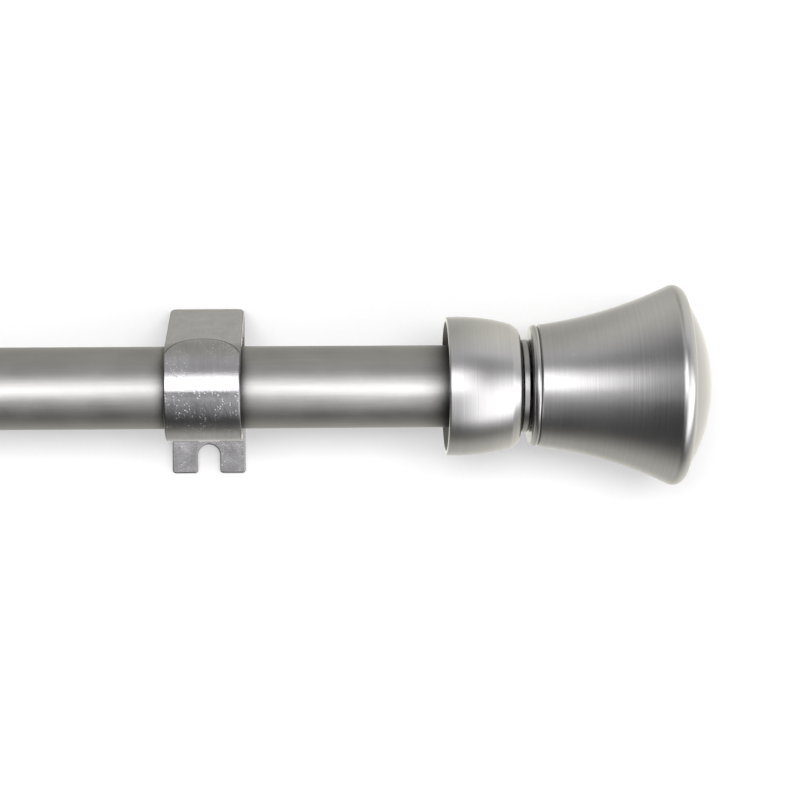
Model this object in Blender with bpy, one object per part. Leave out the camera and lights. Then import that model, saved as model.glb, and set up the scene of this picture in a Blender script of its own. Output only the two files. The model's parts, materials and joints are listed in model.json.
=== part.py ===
"""Telescoping curtain rod in satin nickel, with two ring brackets and two trumpet finials.

The frame's origin is on the wall, behind the right bracket and level with the rod. X runs along the rod,
with the outer tube and its finial at +X. Y runs from the room into the wall, so the rod lies at
y = -PROJECTION. Z is up.
"""

import math

import bmesh
import bpy
from mathutils import Matrix, Vector

MM = 0.001

# Clearances
GAP = 0.3 * MM  # between two pieces that touch or slide on each other
LAYER_GAP = 0.25 * MM  # between the two strap layers of a bracket

# Rod
OUTER_TUBE_RADIUS = 10.3 * MM
TUBE_WALL = 0.6 * MM
OUTER_TUBE_LENGTH = 290 * MM
INNER_TUBE_LENGTH = 285 * MM
ROD_LENGTH = 406 * MM  # end to end of the two tubes, as hung
GUIDE_INSERT = 12 * MM
GUIDE_FLANGE = 2.4 * MM
GUIDE_WALL = 1.5 * MM
GUIDE_LEAD_IN = 0.6 * MM
GUIDE_ROUND = 0.5 * MM

# Place of the rod and of the brackets
PROJECTION = 25.4 * MM
CUP_TO_BRACKET = 60.5 * MM  # from a bracket's middle to the mouth of the finial's cup

# Brackets
STRAP_WIDTH = 19.0 * MM
STRAP_THICKNESS = 1.3 * MM
STRAP_EDGE = 0.35 * MM
LEG_TOP = 19.5 * MM
LEG_BOTTOM = 23.4 * MM
FOLD_RADIUS = 2.2 * MM
FOLD_CORNER = 1.0 * MM  # rounding of the two corners that the fold shows from the front
HOOK_END_ANGLE = 40
SLOT_WIDTH = 5.8 * MM
SLOT_TOP = 15.9 * MM
TINE_CORNER = 0.8 * MM
FOOT_TOP = 6.0 * MM
FOOT_BEND_DROP = 3.0 * MM
FOOT_BEND_RADIUS = 3.0 * MM
TONGUE_TIP_ANGLE = 69
TONGUE_RISE = 5.6 * MM  # from the tongue's shoulders to its tip, along the strap
LINER_WIDTH = 17.0 * MM
LINER_ANGLE = 172
RIVET_SPACING = 10.0 * MM
RIVET_HEIGHT = 1.5 * MM
RIVET_SHANK_RADIUS = 1.5 * MM
RIVET_HEAD_RADIUS = 2.6 * MM
RIVET_HEAD_HEIGHT = 1.3 * MM
RIVET_CROWN_SHARE = 0.9  # of the head's radius, before its edge is rounded
RIVET_ROUND_SHARE = 0.8  # of the head's height

# Finials, from the cup's mouth outwards
CUP_MOUTH_RADIUS = 17.4 * MM
CUP_SHOULDER_RADIUS = 15.6 * MM
CUP_SIDE_RADIUS = 48 * MM
CUP_LENGTH = 18.4 * MM
CUP_BORE_RADIUS = 14.5 * MM
CUP_FLOOR = 3.5 * MM
CUP_MOUTH_BORE = 16.2 * MM  # the bore widens towards the mouth, to this radius
CUP_MOUTH_TAPER = 5.0 * MM
CUP_LIP_INSIDE = 0.3 * MM
CUP_LIP_OUTSIDE = 0.5 * MM
CUP_SIDE_START = 1.0 * MM
CUP_SHOULDER_BACK = 2.3 * MM  # from the shoulder to the cup's far end
CUP_CROWN_RADIUS = 14.2 * MM
CUP_CROWN_ROUND = 1.6 * MM
CUP_NECK_STEP = 0.1 * MM
NECK_RADIUS = 11.7 * MM
NECK_RING_WIDTH = 1.8 * MM
NECK_RING_ROUND = 0.4 * MM
BEAD_RADIUS = 15.4 * MM
BEAD_WIDTH = 2.1 * MM
BEAD_START = 0.2 * MM
BEAD_STEP = 0.1 * MM  # the bead's side lies this far inside the flare's start
BEAD_ROUND = 1.2 * MM
BEAD_FAR_ROUND = 0.5 * MM
GROOVE_DEPTH = 0.55 * MM
GROOVE_HALF_WIDTH = 0.35 * MM
RIM_RADIUS = 25.25 * MM
TRUMPET_LENGTH = 36.3 * MM  # from the small end to the widest place
FLARE_RADIUS = 105 * MM
RIM_LEAN = 25  # degrees at which the flare runs into the rim
TRUMPET_WALL = 1.6 * MM
RIM_ROUND = 2.7 * MM
DOME_RADIUS = 39.5 * MM
CAP_RADIUS = 22.3 * MM
CAP_SPIGOT = 4.5 * MM
CAP_WALL = 1.6 * MM
CAP_FACE_BACK = 0.4 * MM
BOSS_RADIUS = 6.5 * MM
BOSS_LENGTH = 9.0 * MM
TRUMPET_FLOOR = 3.0 * MM

# Fixing of each finial
STUD_RADIUS = 3.0 * MM
STUD_IN_PLUG = 12 * MM
STUD_END_SPACE = 1.2 * MM
STUD_CHAMFER = 0.5 * MM
WASHER_RADIUS = 9.0 * MM
WASHER_THICKNESS = 1.2 * MM
PLUG_FLANGE = 1.6 * MM
PLUG_INSERT = 15 * MM
PLUG_WALL_GAP = 0.3 * MM
PLUG_LEAD_IN = 1.0 * MM
PLUG_ROUND = 0.4 * MM

# Facets round a turned piece
ROUND_FACETS = 32
TUBE_FACETS = 32
SMALL_FACETS = 16

# Worked out from the sizes above
INNER_TUBE_RADIUS = OUTER_TUBE_RADIUS - TUBE_WALL - GAP
HOOK_RADIUS = OUTER_TUBE_RADIUS + GAP + STRAP_THICKNESS / 2
CRADLE_RADIUS = HOOK_RADIUS + STRAP_THICKNESS + LAYER_GAP
NECK_START = CUP_LENGTH + GAP
TRUMPET_START = NECK_START + NECK_RING_WIDTH + GAP
RIM_AT = TRUMPET_START + TRUMPET_LENGTH
WASHER_AT = CUP_LENGTH - CUP_FLOOR - GAP - WASHER_THICKNESS
PLUG_FLANGE_AT = WASHER_AT - GAP - PLUG_FLANGE
TUBE_END_AT = PLUG_FLANGE_AT - GAP
RIGHT_CUP_X = CUP_TO_BRACKET
RIGHT_END_X = RIGHT_CUP_X + TUBE_END_AT
LEFT_END_X = RIGHT_END_X - ROD_LENGTH
LEFT_CUP_X = LEFT_END_X + TUBE_END_AT
LEFT_BRACKET_X = LEFT_CUP_X + CUP_TO_BRACKET


# ---------------------------------------------------------------- materials


def material(name, color, metallic, roughness):
    """A Principled material in one colour."""
    made = bpy.data.materials.new(name)
    made.use_nodes = True
    shader = made.node_tree.nodes["Principled BSDF"]
    shader.inputs["Base Color"].default_value = (*color, 1)
    shader.inputs["Metallic"].default_value = metallic
    shader.inputs["Roughness"].default_value = roughness
    made.diffuse_color = (*color, 1)
    return made


# ---------------------------------------------------------------- outlines


def fillet(before, corner, after, radius, steps):
    """The points of an arc of this radius, put in place of a corner."""
    to_before = (before - corner).normalized()
    to_after = (after - corner).normalized()
    opening = to_before.angle(to_after)
    reach = radius / math.tan(opening / 2)
    middle = (to_before + to_after).normalized() * (radius / math.sin(opening / 2))
    centre = corner + middle
    first = corner + to_before * reach - centre
    last = corner + to_after * reach - centre
    turn = math.atan2(first.x * last.y - first.y * last.x, first.dot(last))
    return [centre + Matrix.Rotation(turn * i / steps, 2) @ first for i in range(steps + 1)]


def outline(corners, steps=3):
    """The points of a closed outline from (a, b, radius) corners, rounding those with a radius."""
    places = [Vector(corner[:2]) for corner in corners]
    points = []
    for i, corner in enumerate(corners):
        if corner[2] > 0:
            after = places[(i + 1) % len(places)]
            points += fillet(places[i - 1], places[i], after, corner[2], steps)
        else:
            points.append(places[i])
    return points


def arc_between(start, end, radius, steps):
    """Points inside an arc from start to end that bulges to the right of the way there."""
    chord = end - start
    rise = math.sqrt(radius**2 - chord.length_squared / 4)
    centre = (start + end) / 2 + Vector((-chord.y, chord.x)).normalized() * rise
    first = start - centre
    last = end - centre
    turn = math.atan2(first.x * last.y - first.y * last.x, first.dot(last))
    return [centre + Matrix.Rotation(turn * i / steps, 2) @ first for i in range(1, steps)]


# ---------------------------------------------------------------- objects


def add_object(name, bm, look, sharp=35):
    """An object that holds this mesh, smooth shaded except at its sharp edges."""
    bmesh.ops.recalc_face_normals(bm, faces=bm.faces)
    mesh = bpy.data.meshes.new(name)
    bm.to_mesh(mesh)
    bm.free()
    mesh.shade_smooth()
    mesh.set_sharp_from_angle(angle=math.radians(sharp))
    mesh.materials.append(look)
    made = bpy.data.objects.new(name, mesh)
    bpy.context.scene.collection.objects.link(made)
    return made


def turned(name, points, look, facets):
    """A piece turned about its own X axis from (along, radius) points. An end on the axis is closed."""
    bm = bmesh.new()
    corners = [bm.verts.new((point.x, 0, point.y)) for point in points]
    on_axis = points[0].y < 1e-7 and points[-1].y < 1e-7
    pairs = list(zip(corners, corners[1:])) + ([] if on_axis else [(corners[-1], corners[0])])
    edges = [bm.edges.new(pair) for pair in pairs]
    bmesh.ops.spin(
        bm,
        geom=corners + edges,
        cent=(0, 0, 0),
        axis=(1, 0, 0),
        angle=2 * math.pi,
        steps=facets,
        use_merge=True,
    )
    bmesh.ops.remove_doubles(bm, verts=bm.verts, dist=1e-7)
    return add_object(name, bm, look)


def on_rod(piece, x, outwards=1):
    """Puts a turned piece on the rod's axis, pointing to +X, or to -X when outwards is -1."""
    piece.location = (x, -PROJECTION, 0)
    piece.rotation_euler = (0, 0, 0 if outwards > 0 else math.pi)
    return piece


# ---------------------------------------------------------------- bent straps


class StrapPath:
    """A strap's middle line in the (y, z) plane, made of lines and arcs that run on smoothly."""

    def __init__(self, start, heading):
        self.pieces = []
        self.length = 0
        self.end = Vector(start)
        self.heading = heading

    def line(self, length):
        """Goes straight on."""
        self.pieces.append((self.length, self.length + length, self.end.copy(), self.heading, None))
        self.end += Vector((math.cos(self.heading), math.sin(self.heading))) * length
        self.length += length
        return self

    def arc(self, radius, turn):
        """Turns left by this angle, or right when it is negative."""
        length = radius * abs(turn)
        side = math.copysign(math.pi / 2, turn)
        to_centre = Vector((math.cos(self.heading + side), math.sin(self.heading + side))) * radius
        centre = self.end + to_centre
        self.pieces.append((self.length, self.length + length, centre, self.heading, (radius, turn)))
        self.end = centre + Matrix.Rotation(turn, 2) @ -to_centre
        self.heading += turn
        self.length += length
        return self

    def at(self, along, offset):
        """The point at this length, offset to the left of the line."""
        piece = next((p for p in self.pieces if along <= p[1]), self.pieces[-1])
        start, stop, place, heading, bend = piece
        if bend is None:
            ahead = Vector((math.cos(heading), math.sin(heading)))
            return place + ahead * (along - start) + Vector((-ahead.y, ahead.x)) * offset
        radius, turn = bend
        heading += turn * (along - start) / (stop - start)
        side = Vector((-math.sin(heading), math.cos(heading)))
        return place - side * math.copysign(radius, turn) + side * offset

    def stations(self, step):
        """The lengths at which the strap changes direction, at most one step of angle apart."""
        found = []
        for start, stop, _place, _heading, bend in self.pieces:
            if bend is None:
                continue
            count = max(1, math.ceil(abs(bend[1]) / step))
            found += [start + (stop - start) * i / count for i in range(count + 1)]
        return sorted(set(found))


def strap(name, blank, path, thickness, look, edge=0.0, step=math.radians(9)):
    """A strip cut to the (x, along) points of its blank, with eased edges, and bent along the path."""
    bm = bmesh.new()
    corners = [bm.verts.new((point.x, point.y, -thickness / 2)) for point in blank]
    face = bm.faces.new(corners)
    raised = bmesh.ops.extrude_face_region(bm, geom=[face])
    upper = [item for item in raised["geom"] if isinstance(item, bmesh.types.BMVert)]
    bmesh.ops.translate(bm, verts=upper, vec=(0, 0, thickness))
    if edge:
        rims = [e for e in bm.edges if abs(e.verts[0].co.z - e.verts[1].co.z) < thickness / 4]
        bmesh.ops.bevel(
            bm,
            geom=rims,
            offset=edge,
            segments=1,
            profile=0.5,
            affect="EDGES",
            material=-1,
        )
    for along in path.stations(step):
        bmesh.ops.bisect_plane(
            bm,
            geom=bm.verts[:] + bm.edges[:] + bm.faces[:],
            dist=1e-7,
            plane_co=(0, along, 0),
            plane_no=(0, 1, 0),
        )
    for vert in bm.verts:
        place = path.at(vert.co.y, vert.co.z)
        vert.co = (vert.co.x, place.x, place.y)
    return add_object(name, bm, look, sharp=50)


def bored(piece, radius, x, z, name):
    """Cuts a round hole through a strap's flat part, along Y."""
    bm = bmesh.new()
    depth = PROJECTION
    bmesh.ops.create_cone(
        bm, cap_ends=True, segments=SMALL_FACETS, radius1=radius, radius2=radius, depth=depth
    )
    bmesh.ops.rotate(bm, verts=bm.verts, matrix=Matrix.Rotation(math.pi / 2, 3, "X"))
    bmesh.ops.recalc_face_normals(bm, faces=bm.faces)
    mesh = bpy.data.meshes.new(name)
    bm.to_mesh(mesh)
    bm.free()
    cutter = bpy.data.objects.new(name, mesh)
    bpy.context.scene.collection.objects.link(cutter)
    cutter.location = (x, 0, z)
    cutter.hide_render = True
    cutter.display_type = "WIRE"
    cut = piece.modifiers.new(name, "BOOLEAN")
    cut.operation = "DIFFERENCE"
    cut.solver = "EXACT"
    cut.object = cutter


# ---------------------------------------------------------------- brackets


def tangent_heading(offset_y, offset_z, radius_gap, side):
    """The heading of the line that touches two circles on the same side, from one to the other."""
    towards = math.atan2(offset_z, offset_y)
    lean = math.asin(radius_gap / math.hypot(offset_y, offset_z))
    return towards + side * lean


def tangent_length(offset_y, offset_z, radius_gap):
    """The length of that line between the two circles."""
    return math.sqrt(offset_y**2 + offset_z**2 - radius_gap**2)


def hook_path():
    """From the fork up the wall, folded forward at the top, down a ramp and over the rod."""
    leg_y = -STRAP_THICKNESS / 2
    fold_z = LEG_TOP - FOLD_RADIUS - STRAP_THICKNESS / 2
    fold_y = leg_y - FOLD_RADIUS
    to_rod = (-PROJECTION - fold_y, -fold_z)
    radius_gap = HOOK_RADIUS - FOLD_RADIUS
    ramp = tangent_heading(*to_rod, radius_gap, -1) % (2 * math.pi)
    path = StrapPath((leg_y, -LEG_BOTTOM), math.pi / 2)
    path.line(LEG_BOTTOM + fold_z)
    path.arc(FOLD_RADIUS, ramp - math.pi / 2)
    path.line(tangent_length(*to_rod, radius_gap))
    end_heading = math.radians(180 - HOOK_END_ANGLE) + math.pi / 2
    path.arc(HOOK_RADIUS, end_heading - ramp)
    return path


def cradle_path():
    """From the foot on the wall leg, forward under the rod and up its front to the tongue."""
    foot_y = -STRAP_THICKNESS * 1.5 - LAYER_GAP
    bend_y = foot_y - FOOT_BEND_RADIUS
    to_rod = (-PROJECTION - bend_y, FOOT_BEND_DROP)
    radius_gap = CRADLE_RADIUS - FOOT_BEND_RADIUS
    under = tangent_heading(*to_rod, radius_gap, 1) % (2 * math.pi)
    path = StrapPath((foot_y, FOOT_TOP), -math.pi / 2)
    path.line(FOOT_TOP + FOOT_BEND_DROP)
    path.arc(FOOT_BEND_RADIUS, under - 1.5 * math.pi)
    path.line(tangent_length(*to_rod, radius_gap))
    end_heading = math.radians(180 - TONGUE_TIP_ANGLE) - math.pi / 2
    path.arc(CRADLE_RADIUS, end_heading - under)
    return path


def liner_path(thickness, inner_radius):
    """Round the rod inside the cradle, from under the hook's end to behind the rod."""
    radius = inner_radius + thickness / 2
    clear = math.degrees(GAP / radius) * 3
    first = math.radians(180 - HOOK_END_ANGLE + clear)
    start = (-PROJECTION + radius * math.cos(first), radius * math.sin(first))
    path = StrapPath(start, first + math.pi / 2)
    path.arc(radius, math.radians(LINER_ANGLE))
    return path


def fold_dips(half, path):
    """The corners that narrow the hook strap at its fold, so that its top corners look round."""
    reach = FOLD_RADIUS * math.acos(1 - FOLD_CORNER / (FOLD_RADIUS + STRAP_THICKNESS / 2))
    top = path.pieces[1][0] + FOLD_RADIUS * math.pi / 2
    turns = 4
    dips = []
    for i in range(turns, -turns - 1, -1):
        offset = reach * i / turns
        drop = (FOLD_RADIUS + STRAP_THICKNESS / 2) * (1 - math.cos(offset / FOLD_RADIUS))
        inset = FOLD_CORNER - math.sqrt(max(0, FOLD_CORNER**2 - (FOLD_CORNER - drop) ** 2))
        dips.append((-half + inset, top + offset, 0))
    return dips


def fork_blank(path):
    """The hook strap's blank: a fork at one end and square corners, slightly eased, at the other."""
    half = STRAP_WIDTH / 2
    slot = SLOT_WIDTH / 2
    slot_round = LEG_BOTTOM - SLOT_TOP - slot
    start = [(-half, path.length, TINE_CORNER)] + fold_dips(half, path)
    start += [(-half, 0, TINE_CORNER), (-slot, 0, TINE_CORNER)]
    left = outline(start + [(-slot, slot_round, 0), (0, path.length, 0)])[:-1]
    turns = 8
    arch = [
        Vector((-slot * math.cos(math.pi * i / turns), slot_round + slot * math.sin(math.pi * i / turns)))
        for i in range(1, turns)
    ]
    right = [Vector((-point.x, point.y)) for point in reversed(left)]
    return left + arch + right


def tongue_blank(path):
    """The cradle strap's blank: a square foot, and a tongue that ends in one shallow arc."""
    half = STRAP_WIDTH / 2
    shoulder = path.length - TONGUE_RISE
    radius = (half**2 + TONGUE_RISE**2) / (2 * TONGUE_RISE)
    sweep = math.asin(half / radius)
    turns = 12
    tip = []
    for i in range(turns + 1):
        angle = sweep * (1 - 2 * i / turns)
        tip.append(Vector((radius * math.sin(angle), path.length - radius + radius * math.cos(angle))))
    foot = outline([(-half, 0, TINE_CORNER), (half, 0, TINE_CORNER), (0, shoulder, 0)])[:-1]
    return foot + tip


def rectangle_blank(width, length):
    """A plain strip."""
    half = width / 2
    return outline([(-half, 0, 0), (half, 0, 0), (half, length, 0), (-half, length, 0)])


def rivet(name, x, look):
    """A rivet through the cradle strap's foot and the wall leg, its flat tail just inside the wall leg."""
    head = 2 * STRAP_THICKNESS + LAYER_GAP + GAP
    tail = GAP / 2
    crown = head + RIVET_HEAD_HEIGHT
    profile = [(tail, 0, 0), (tail, RIVET_SHANK_RADIUS, 0), (head, RIVET_SHANK_RADIUS, 0)]
    edge = RIVET_HEAD_RADIUS * RIVET_CROWN_SHARE
    profile += [(head, RIVET_HEAD_RADIUS, 0), (crown, edge, RIVET_HEAD_HEIGHT * RIVET_ROUND_SHARE)]
    profile += [(crown, 0, 0)]
    made = turned(name, outline(profile, 2), look, SMALL_FACETS)
    made.location = (x, 0, RIVET_HEIGHT)
    made.rotation_euler = (0, 0, -math.pi / 2)


def bracket(side, x, tube_radius, nickel, plastic, steel):
    """One bracket: its two straps, the rivets that join them and the liner round the tube."""
    hook = hook_path()
    cradle = cradle_path()
    hook_strap = strap(
        f"{side}_bracket_hook_strap", fork_blank(hook), hook, STRAP_THICKNESS, nickel, STRAP_EDGE
    )
    cradle_strap = strap(
        f"{side}_bracket_cradle_strap", tongue_blank(cradle), cradle, STRAP_THICKNESS, nickel, STRAP_EDGE
    )
    for piece in (hook_strap, cradle_strap):
        piece.location.x = x
    for number, offset in enumerate((-RIVET_SPACING / 2, RIVET_SPACING / 2), start=1):
        rivet(f"{side}_bracket_rivet_{number}", x + offset, steel)
        for piece in (hook_strap, cradle_strap):
            hole = f"{piece.name}_hole_{number}"
            bored(piece, RIVET_SHANK_RADIUS + GAP, x + offset, RIVET_HEIGHT, hole)
    inner_radius = tube_radius + GAP
    thickness = CRADLE_RADIUS - STRAP_THICKNESS / 2 - GAP - inner_radius
    around = liner_path(thickness, inner_radius)
    blank = rectangle_blank(LINER_WIDTH, around.length)
    liner = strap(f"{side}_bracket_liner", blank, around, thickness, plastic)
    liner.location.x = x


# ---------------------------------------------------------------- rod


def tube(name, radius, length, look):
    """A thin-walled tube, from its end at 0 towards -X."""
    bore = radius - TUBE_WALL
    ring = [(0, bore, 0), (0, radius, 0), (-length, radius, 0), (-length, bore, 0)]
    return turned(name, outline(ring), look, TUBE_FACETS)


def rod(nickel, plastic):
    """The two tubes, and the guide on the inner tube's hidden end."""
    on_rod(tube("outer_tube", OUTER_TUBE_RADIUS, OUTER_TUBE_LENGTH, nickel), RIGHT_END_X)
    inner = tube("inner_tube", INNER_TUBE_RADIUS, INNER_TUBE_LENGTH, nickel)
    on_rod(inner, LEFT_END_X, -1)
    flange = OUTER_TUBE_RADIUS - TUBE_WALL - GAP
    body = INNER_TUBE_RADIUS - TUBE_WALL - GAP
    bore = body - GUIDE_WALL
    profile = [
        (-GUIDE_INSERT, bore, 0),
        (-GUIDE_INSERT, body, GUIDE_LEAD_IN),
        (GAP, body, 0),
        (GAP, flange, 0),
        (GAP + GUIDE_FLANGE, flange, GUIDE_ROUND),
        (GAP + GUIDE_FLANGE, bore, 0),
    ]
    guide = turned("inner_tube_guide", outline(profile, 1), plastic, ROUND_FACETS)
    on_rod(guide, LEFT_END_X + INNER_TUBE_LENGTH)


# ---------------------------------------------------------------- finials


def cup_outline():
    """The cup: a wide bore round the tube, a convex side, and a floor that the stud goes through."""
    start = Vector((CUP_SIDE_START, CUP_MOUTH_RADIUS))
    shoulder = Vector((CUP_LENGTH - CUP_SHOULDER_BACK, CUP_SHOULDER_RADIUS))
    side = arc_between(shoulder, start, CUP_SIDE_RADIUS, 4)[::-1]
    hole = STUD_RADIUS + GAP
    bore = [(CUP_MOUTH_TAPER, CUP_BORE_RADIUS, 0), (0, CUP_MOUTH_BORE, CUP_LIP_INSIDE)]
    bore += [(0, CUP_MOUTH_RADIUS, CUP_LIP_OUTSIDE)]
    points = outline(bore + [(shoulder.x, CUP_MOUTH_RADIUS, 0)], 2)[:-1]
    points += side + [shoulder]
    step = CUP_LENGTH - CUP_NECK_STEP
    crown = [(shoulder.x, shoulder.y, 0), (step, CUP_CROWN_RADIUS, CUP_CROWN_ROUND)]
    floor = CUP_LENGTH - CUP_FLOOR
    crown += [(step, NECK_RADIUS, 0), (CUP_LENGTH, NECK_RADIUS, 0)]
    crown += [(CUP_LENGTH, hole, 0), (floor, hole, 0), (floor, CUP_BORE_RADIUS, 0)]
    return points + outline(crown)[1:]


def trumpet_outline():
    """The trumpet: a bead, a fine groove, the flare, a rolled rim, and a hollow with a boss for the stud."""
    small = TRUMPET_START
    groove = small + BEAD_WIDTH
    flare_start = Vector((groove + GROOVE_HALF_WIDTH, BEAD_RADIUS))
    mouth = CAP_RADIUS + GAP
    centre = Vector((RIM_AT, RIM_RADIUS - RIM_ROUND))
    first = math.radians(90 + RIM_LEAN)
    last = math.asin((mouth - centre.y) / RIM_ROUND)
    turns = 6
    rim = []
    for i in range(turns + 1):
        angle = first + (last - first) * i / turns
        rim.append(centre + Vector((math.cos(angle), math.sin(angle))) * RIM_ROUND)
    flare = arc_between(flare_start, rim[0], FLARE_RADIUS, 5)
    hole = STUD_RADIUS + GAP
    wall = TRUMPET_WALL
    floor = small + TRUMPET_FLOOR
    bead = BEAD_RADIUS - BEAD_STEP
    start = [(small, hole, 0), (small, NECK_RADIUS, 0), (small + BEAD_START, bead, BEAD_ROUND)]
    start += [(groove - GROOVE_HALF_WIDTH, bead, BEAD_FAR_ROUND)]
    start += [(groove, BEAD_RADIUS - GROOVE_DEPTH, 0)]
    start += [(flare_start.x, flare_start.y, 0)]
    inside = [Vector((point.x, point.y - wall)) for point in reversed(flare)]
    rolled = Vector((rim[0].x, rim[0].y - wall))
    points = outline(start, 2) + flare + rim
    points += [Vector((rolled.x, mouth)), rolled]
    points += inside + [Vector((floor, BEAD_RADIUS - wall)), Vector((floor, BOSS_RADIUS))]
    points += [Vector((floor + BOSS_LENGTH, BOSS_RADIUS)), Vector((floor + BOSS_LENGTH, hole))]
    return points


def cap_outline():
    """The end cap: a shallow dome with a spigot that goes into the trumpet's mouth."""
    edge = math.sqrt(DOME_RADIUS**2 - CAP_RADIUS**2)
    lip = RIM_AT + math.sqrt(RIM_ROUND**2 - (RIM_ROUND - RIM_RADIUS + CAP_RADIUS) ** 2)
    centre = lip - edge
    sweep = math.asin(CAP_RADIUS / DOME_RADIUS)
    dome = []
    for i in range(6):
        angle = sweep * (1 - i / 5)
        dome.append(Vector((centre + DOME_RADIUS * math.cos(angle), DOME_RADIUS * math.sin(angle))))
    spigot = lip - CAP_SPIGOT
    inner = CAP_RADIUS - CAP_WALL
    back = lip - CAP_FACE_BACK
    hollow = [Vector((back, 0)), Vector((back, inner)), Vector((spigot, inner))]
    return hollow + [Vector((spigot, CAP_RADIUS))] + dome


def finial(side, x, outwards, nickel, steel, plastic):
    """One finial, and what fixes it to its tube."""
    tube_radius = OUTER_TUBE_RADIUS if outwards > 0 else INNER_TUBE_RADIUS
    pieces = [turned(f"{side}_finial_cup", cup_outline(), nickel, ROUND_FACETS)]
    hole = STUD_RADIUS + GAP
    ring_end = NECK_START + NECK_RING_WIDTH
    ring = [(NECK_START, hole, 0), (NECK_START, NECK_RADIUS, NECK_RING_ROUND)]
    ring += [(ring_end, NECK_RADIUS, NECK_RING_ROUND), (ring_end, hole, 0)]
    pieces.append(turned(f"{side}_finial_neck_ring", outline(ring, 2), nickel, ROUND_FACETS))
    pieces.append(turned(f"{side}_finial_trumpet", trumpet_outline(), nickel, ROUND_FACETS))
    pieces.append(turned(f"{side}_finial_end_cap", cap_outline(), nickel, ROUND_FACETS))
    start = TUBE_END_AT - STUD_IN_PLUG
    end = TRUMPET_START + TRUMPET_FLOOR + BOSS_LENGTH - STUD_END_SPACE
    stud = [(start, 0, 0), (start, STUD_RADIUS, STUD_CHAMFER)]
    stud += [(end, STUD_RADIUS, STUD_CHAMFER), (end, 0, 0)]
    pieces.append(turned(f"{side}_finial_stud", outline(stud, 1), steel, SMALL_FACETS))
    washer = [(WASHER_AT, hole, 0), (WASHER_AT, WASHER_RADIUS, 0)]
    washer += [(WASHER_AT + WASHER_THICKNESS, WASHER_RADIUS, 0), (WASHER_AT + WASHER_THICKNESS, hole, 0)]
    pieces.append(turned(f"{side}_finial_washer", outline(washer), steel, SMALL_FACETS))
    body = tube_radius - TUBE_WALL - PLUG_WALL_GAP
    inside_end = TUBE_END_AT - PLUG_INSERT
    plug = [(inside_end, hole, 0), (inside_end, body, PLUG_LEAD_IN), (TUBE_END_AT + GAP, body, 0)]
    plug += [(TUBE_END_AT + GAP, tube_radius, 0), (PLUG_FLANGE_AT + PLUG_FLANGE, tube_radius, PLUG_ROUND)]
    plug += [(PLUG_FLANGE_AT + PLUG_FLANGE, hole, 0)]
    pieces.append(turned(f"{side}_tube_plug", outline(plug, 1), plastic, ROUND_FACETS))
    for piece in pieces:
        on_rod(piece, x, outwards)


# ---------------------------------------------------------------- assembly


def clear_scene():
    """Removes every object."""
    for old in list(bpy.data.objects):
        bpy.data.objects.remove(old, do_unlink=True)


def main():
    """Builds the rod with its brackets and finials."""
    clear_scene()
    tube_nickel = material("tube_satin_nickel", (0.60, 0.59, 0.57), 1.0, 0.32)
    finial_nickel = material("finial_satin_nickel", (0.66, 0.65, 0.63), 1.0, 0.28)
    strap_nickel = material("strap_nickel", (0.62, 0.61, 0.60), 1.0, 0.22)
    zinc = material("zinc_plated_steel", (0.72, 0.73, 0.74), 1.0, 0.3)
    nylon = material("grey_nylon", (0.30, 0.30, 0.31), 0.0, 0.5)
    rod(tube_nickel, nylon)
    bracket("right", 0, OUTER_TUBE_RADIUS, strap_nickel, nylon, zinc)
    bracket("left", LEFT_BRACKET_X, INNER_TUBE_RADIUS, strap_nickel, nylon, zinc)
    finial("right", RIGHT_CUP_X, 1, finial_nickel, zinc, nylon)
    finial("left", LEFT_CUP_X, -1, finial_nickel, zinc, nylon)


main()
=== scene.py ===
"""Looks of a telescoping curtain rod in satin nickel, with its two ring brackets and its trumpet finials.

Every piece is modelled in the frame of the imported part, in metres. X runs along the rod, Y runs from the
room into the wall and Z is up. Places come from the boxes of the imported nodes. A piece's small sizes are
the dataclass fields of the class that builds it.
"""

import json
import logging
import math
from dataclasses import dataclass, field
from enum import Enum
from typing import Any, Iterable, Optional, Sequence

import bmesh
import bpy
from mathutils import Matrix, Vector


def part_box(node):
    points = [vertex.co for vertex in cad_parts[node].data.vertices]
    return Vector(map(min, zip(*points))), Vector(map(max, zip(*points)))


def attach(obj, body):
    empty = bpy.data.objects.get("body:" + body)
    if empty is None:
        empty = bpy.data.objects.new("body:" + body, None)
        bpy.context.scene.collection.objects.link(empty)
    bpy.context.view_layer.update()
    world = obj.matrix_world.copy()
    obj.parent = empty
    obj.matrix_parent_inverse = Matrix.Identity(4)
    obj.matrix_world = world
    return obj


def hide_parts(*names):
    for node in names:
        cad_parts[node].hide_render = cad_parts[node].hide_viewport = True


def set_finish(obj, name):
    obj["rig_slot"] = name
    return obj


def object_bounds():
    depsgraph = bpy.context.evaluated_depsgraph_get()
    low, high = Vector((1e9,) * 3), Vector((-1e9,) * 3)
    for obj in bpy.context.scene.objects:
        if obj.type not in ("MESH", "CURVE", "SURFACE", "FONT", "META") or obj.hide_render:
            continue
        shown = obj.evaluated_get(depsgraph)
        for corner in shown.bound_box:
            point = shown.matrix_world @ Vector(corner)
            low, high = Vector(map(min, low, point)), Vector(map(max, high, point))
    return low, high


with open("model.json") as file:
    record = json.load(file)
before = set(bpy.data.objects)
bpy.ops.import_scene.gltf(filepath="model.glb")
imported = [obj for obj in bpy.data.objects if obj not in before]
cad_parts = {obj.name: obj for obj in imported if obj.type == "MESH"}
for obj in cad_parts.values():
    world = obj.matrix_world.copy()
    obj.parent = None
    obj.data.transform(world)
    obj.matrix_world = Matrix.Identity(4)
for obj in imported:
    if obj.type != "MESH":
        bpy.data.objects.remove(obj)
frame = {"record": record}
CAD_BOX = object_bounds()

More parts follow.
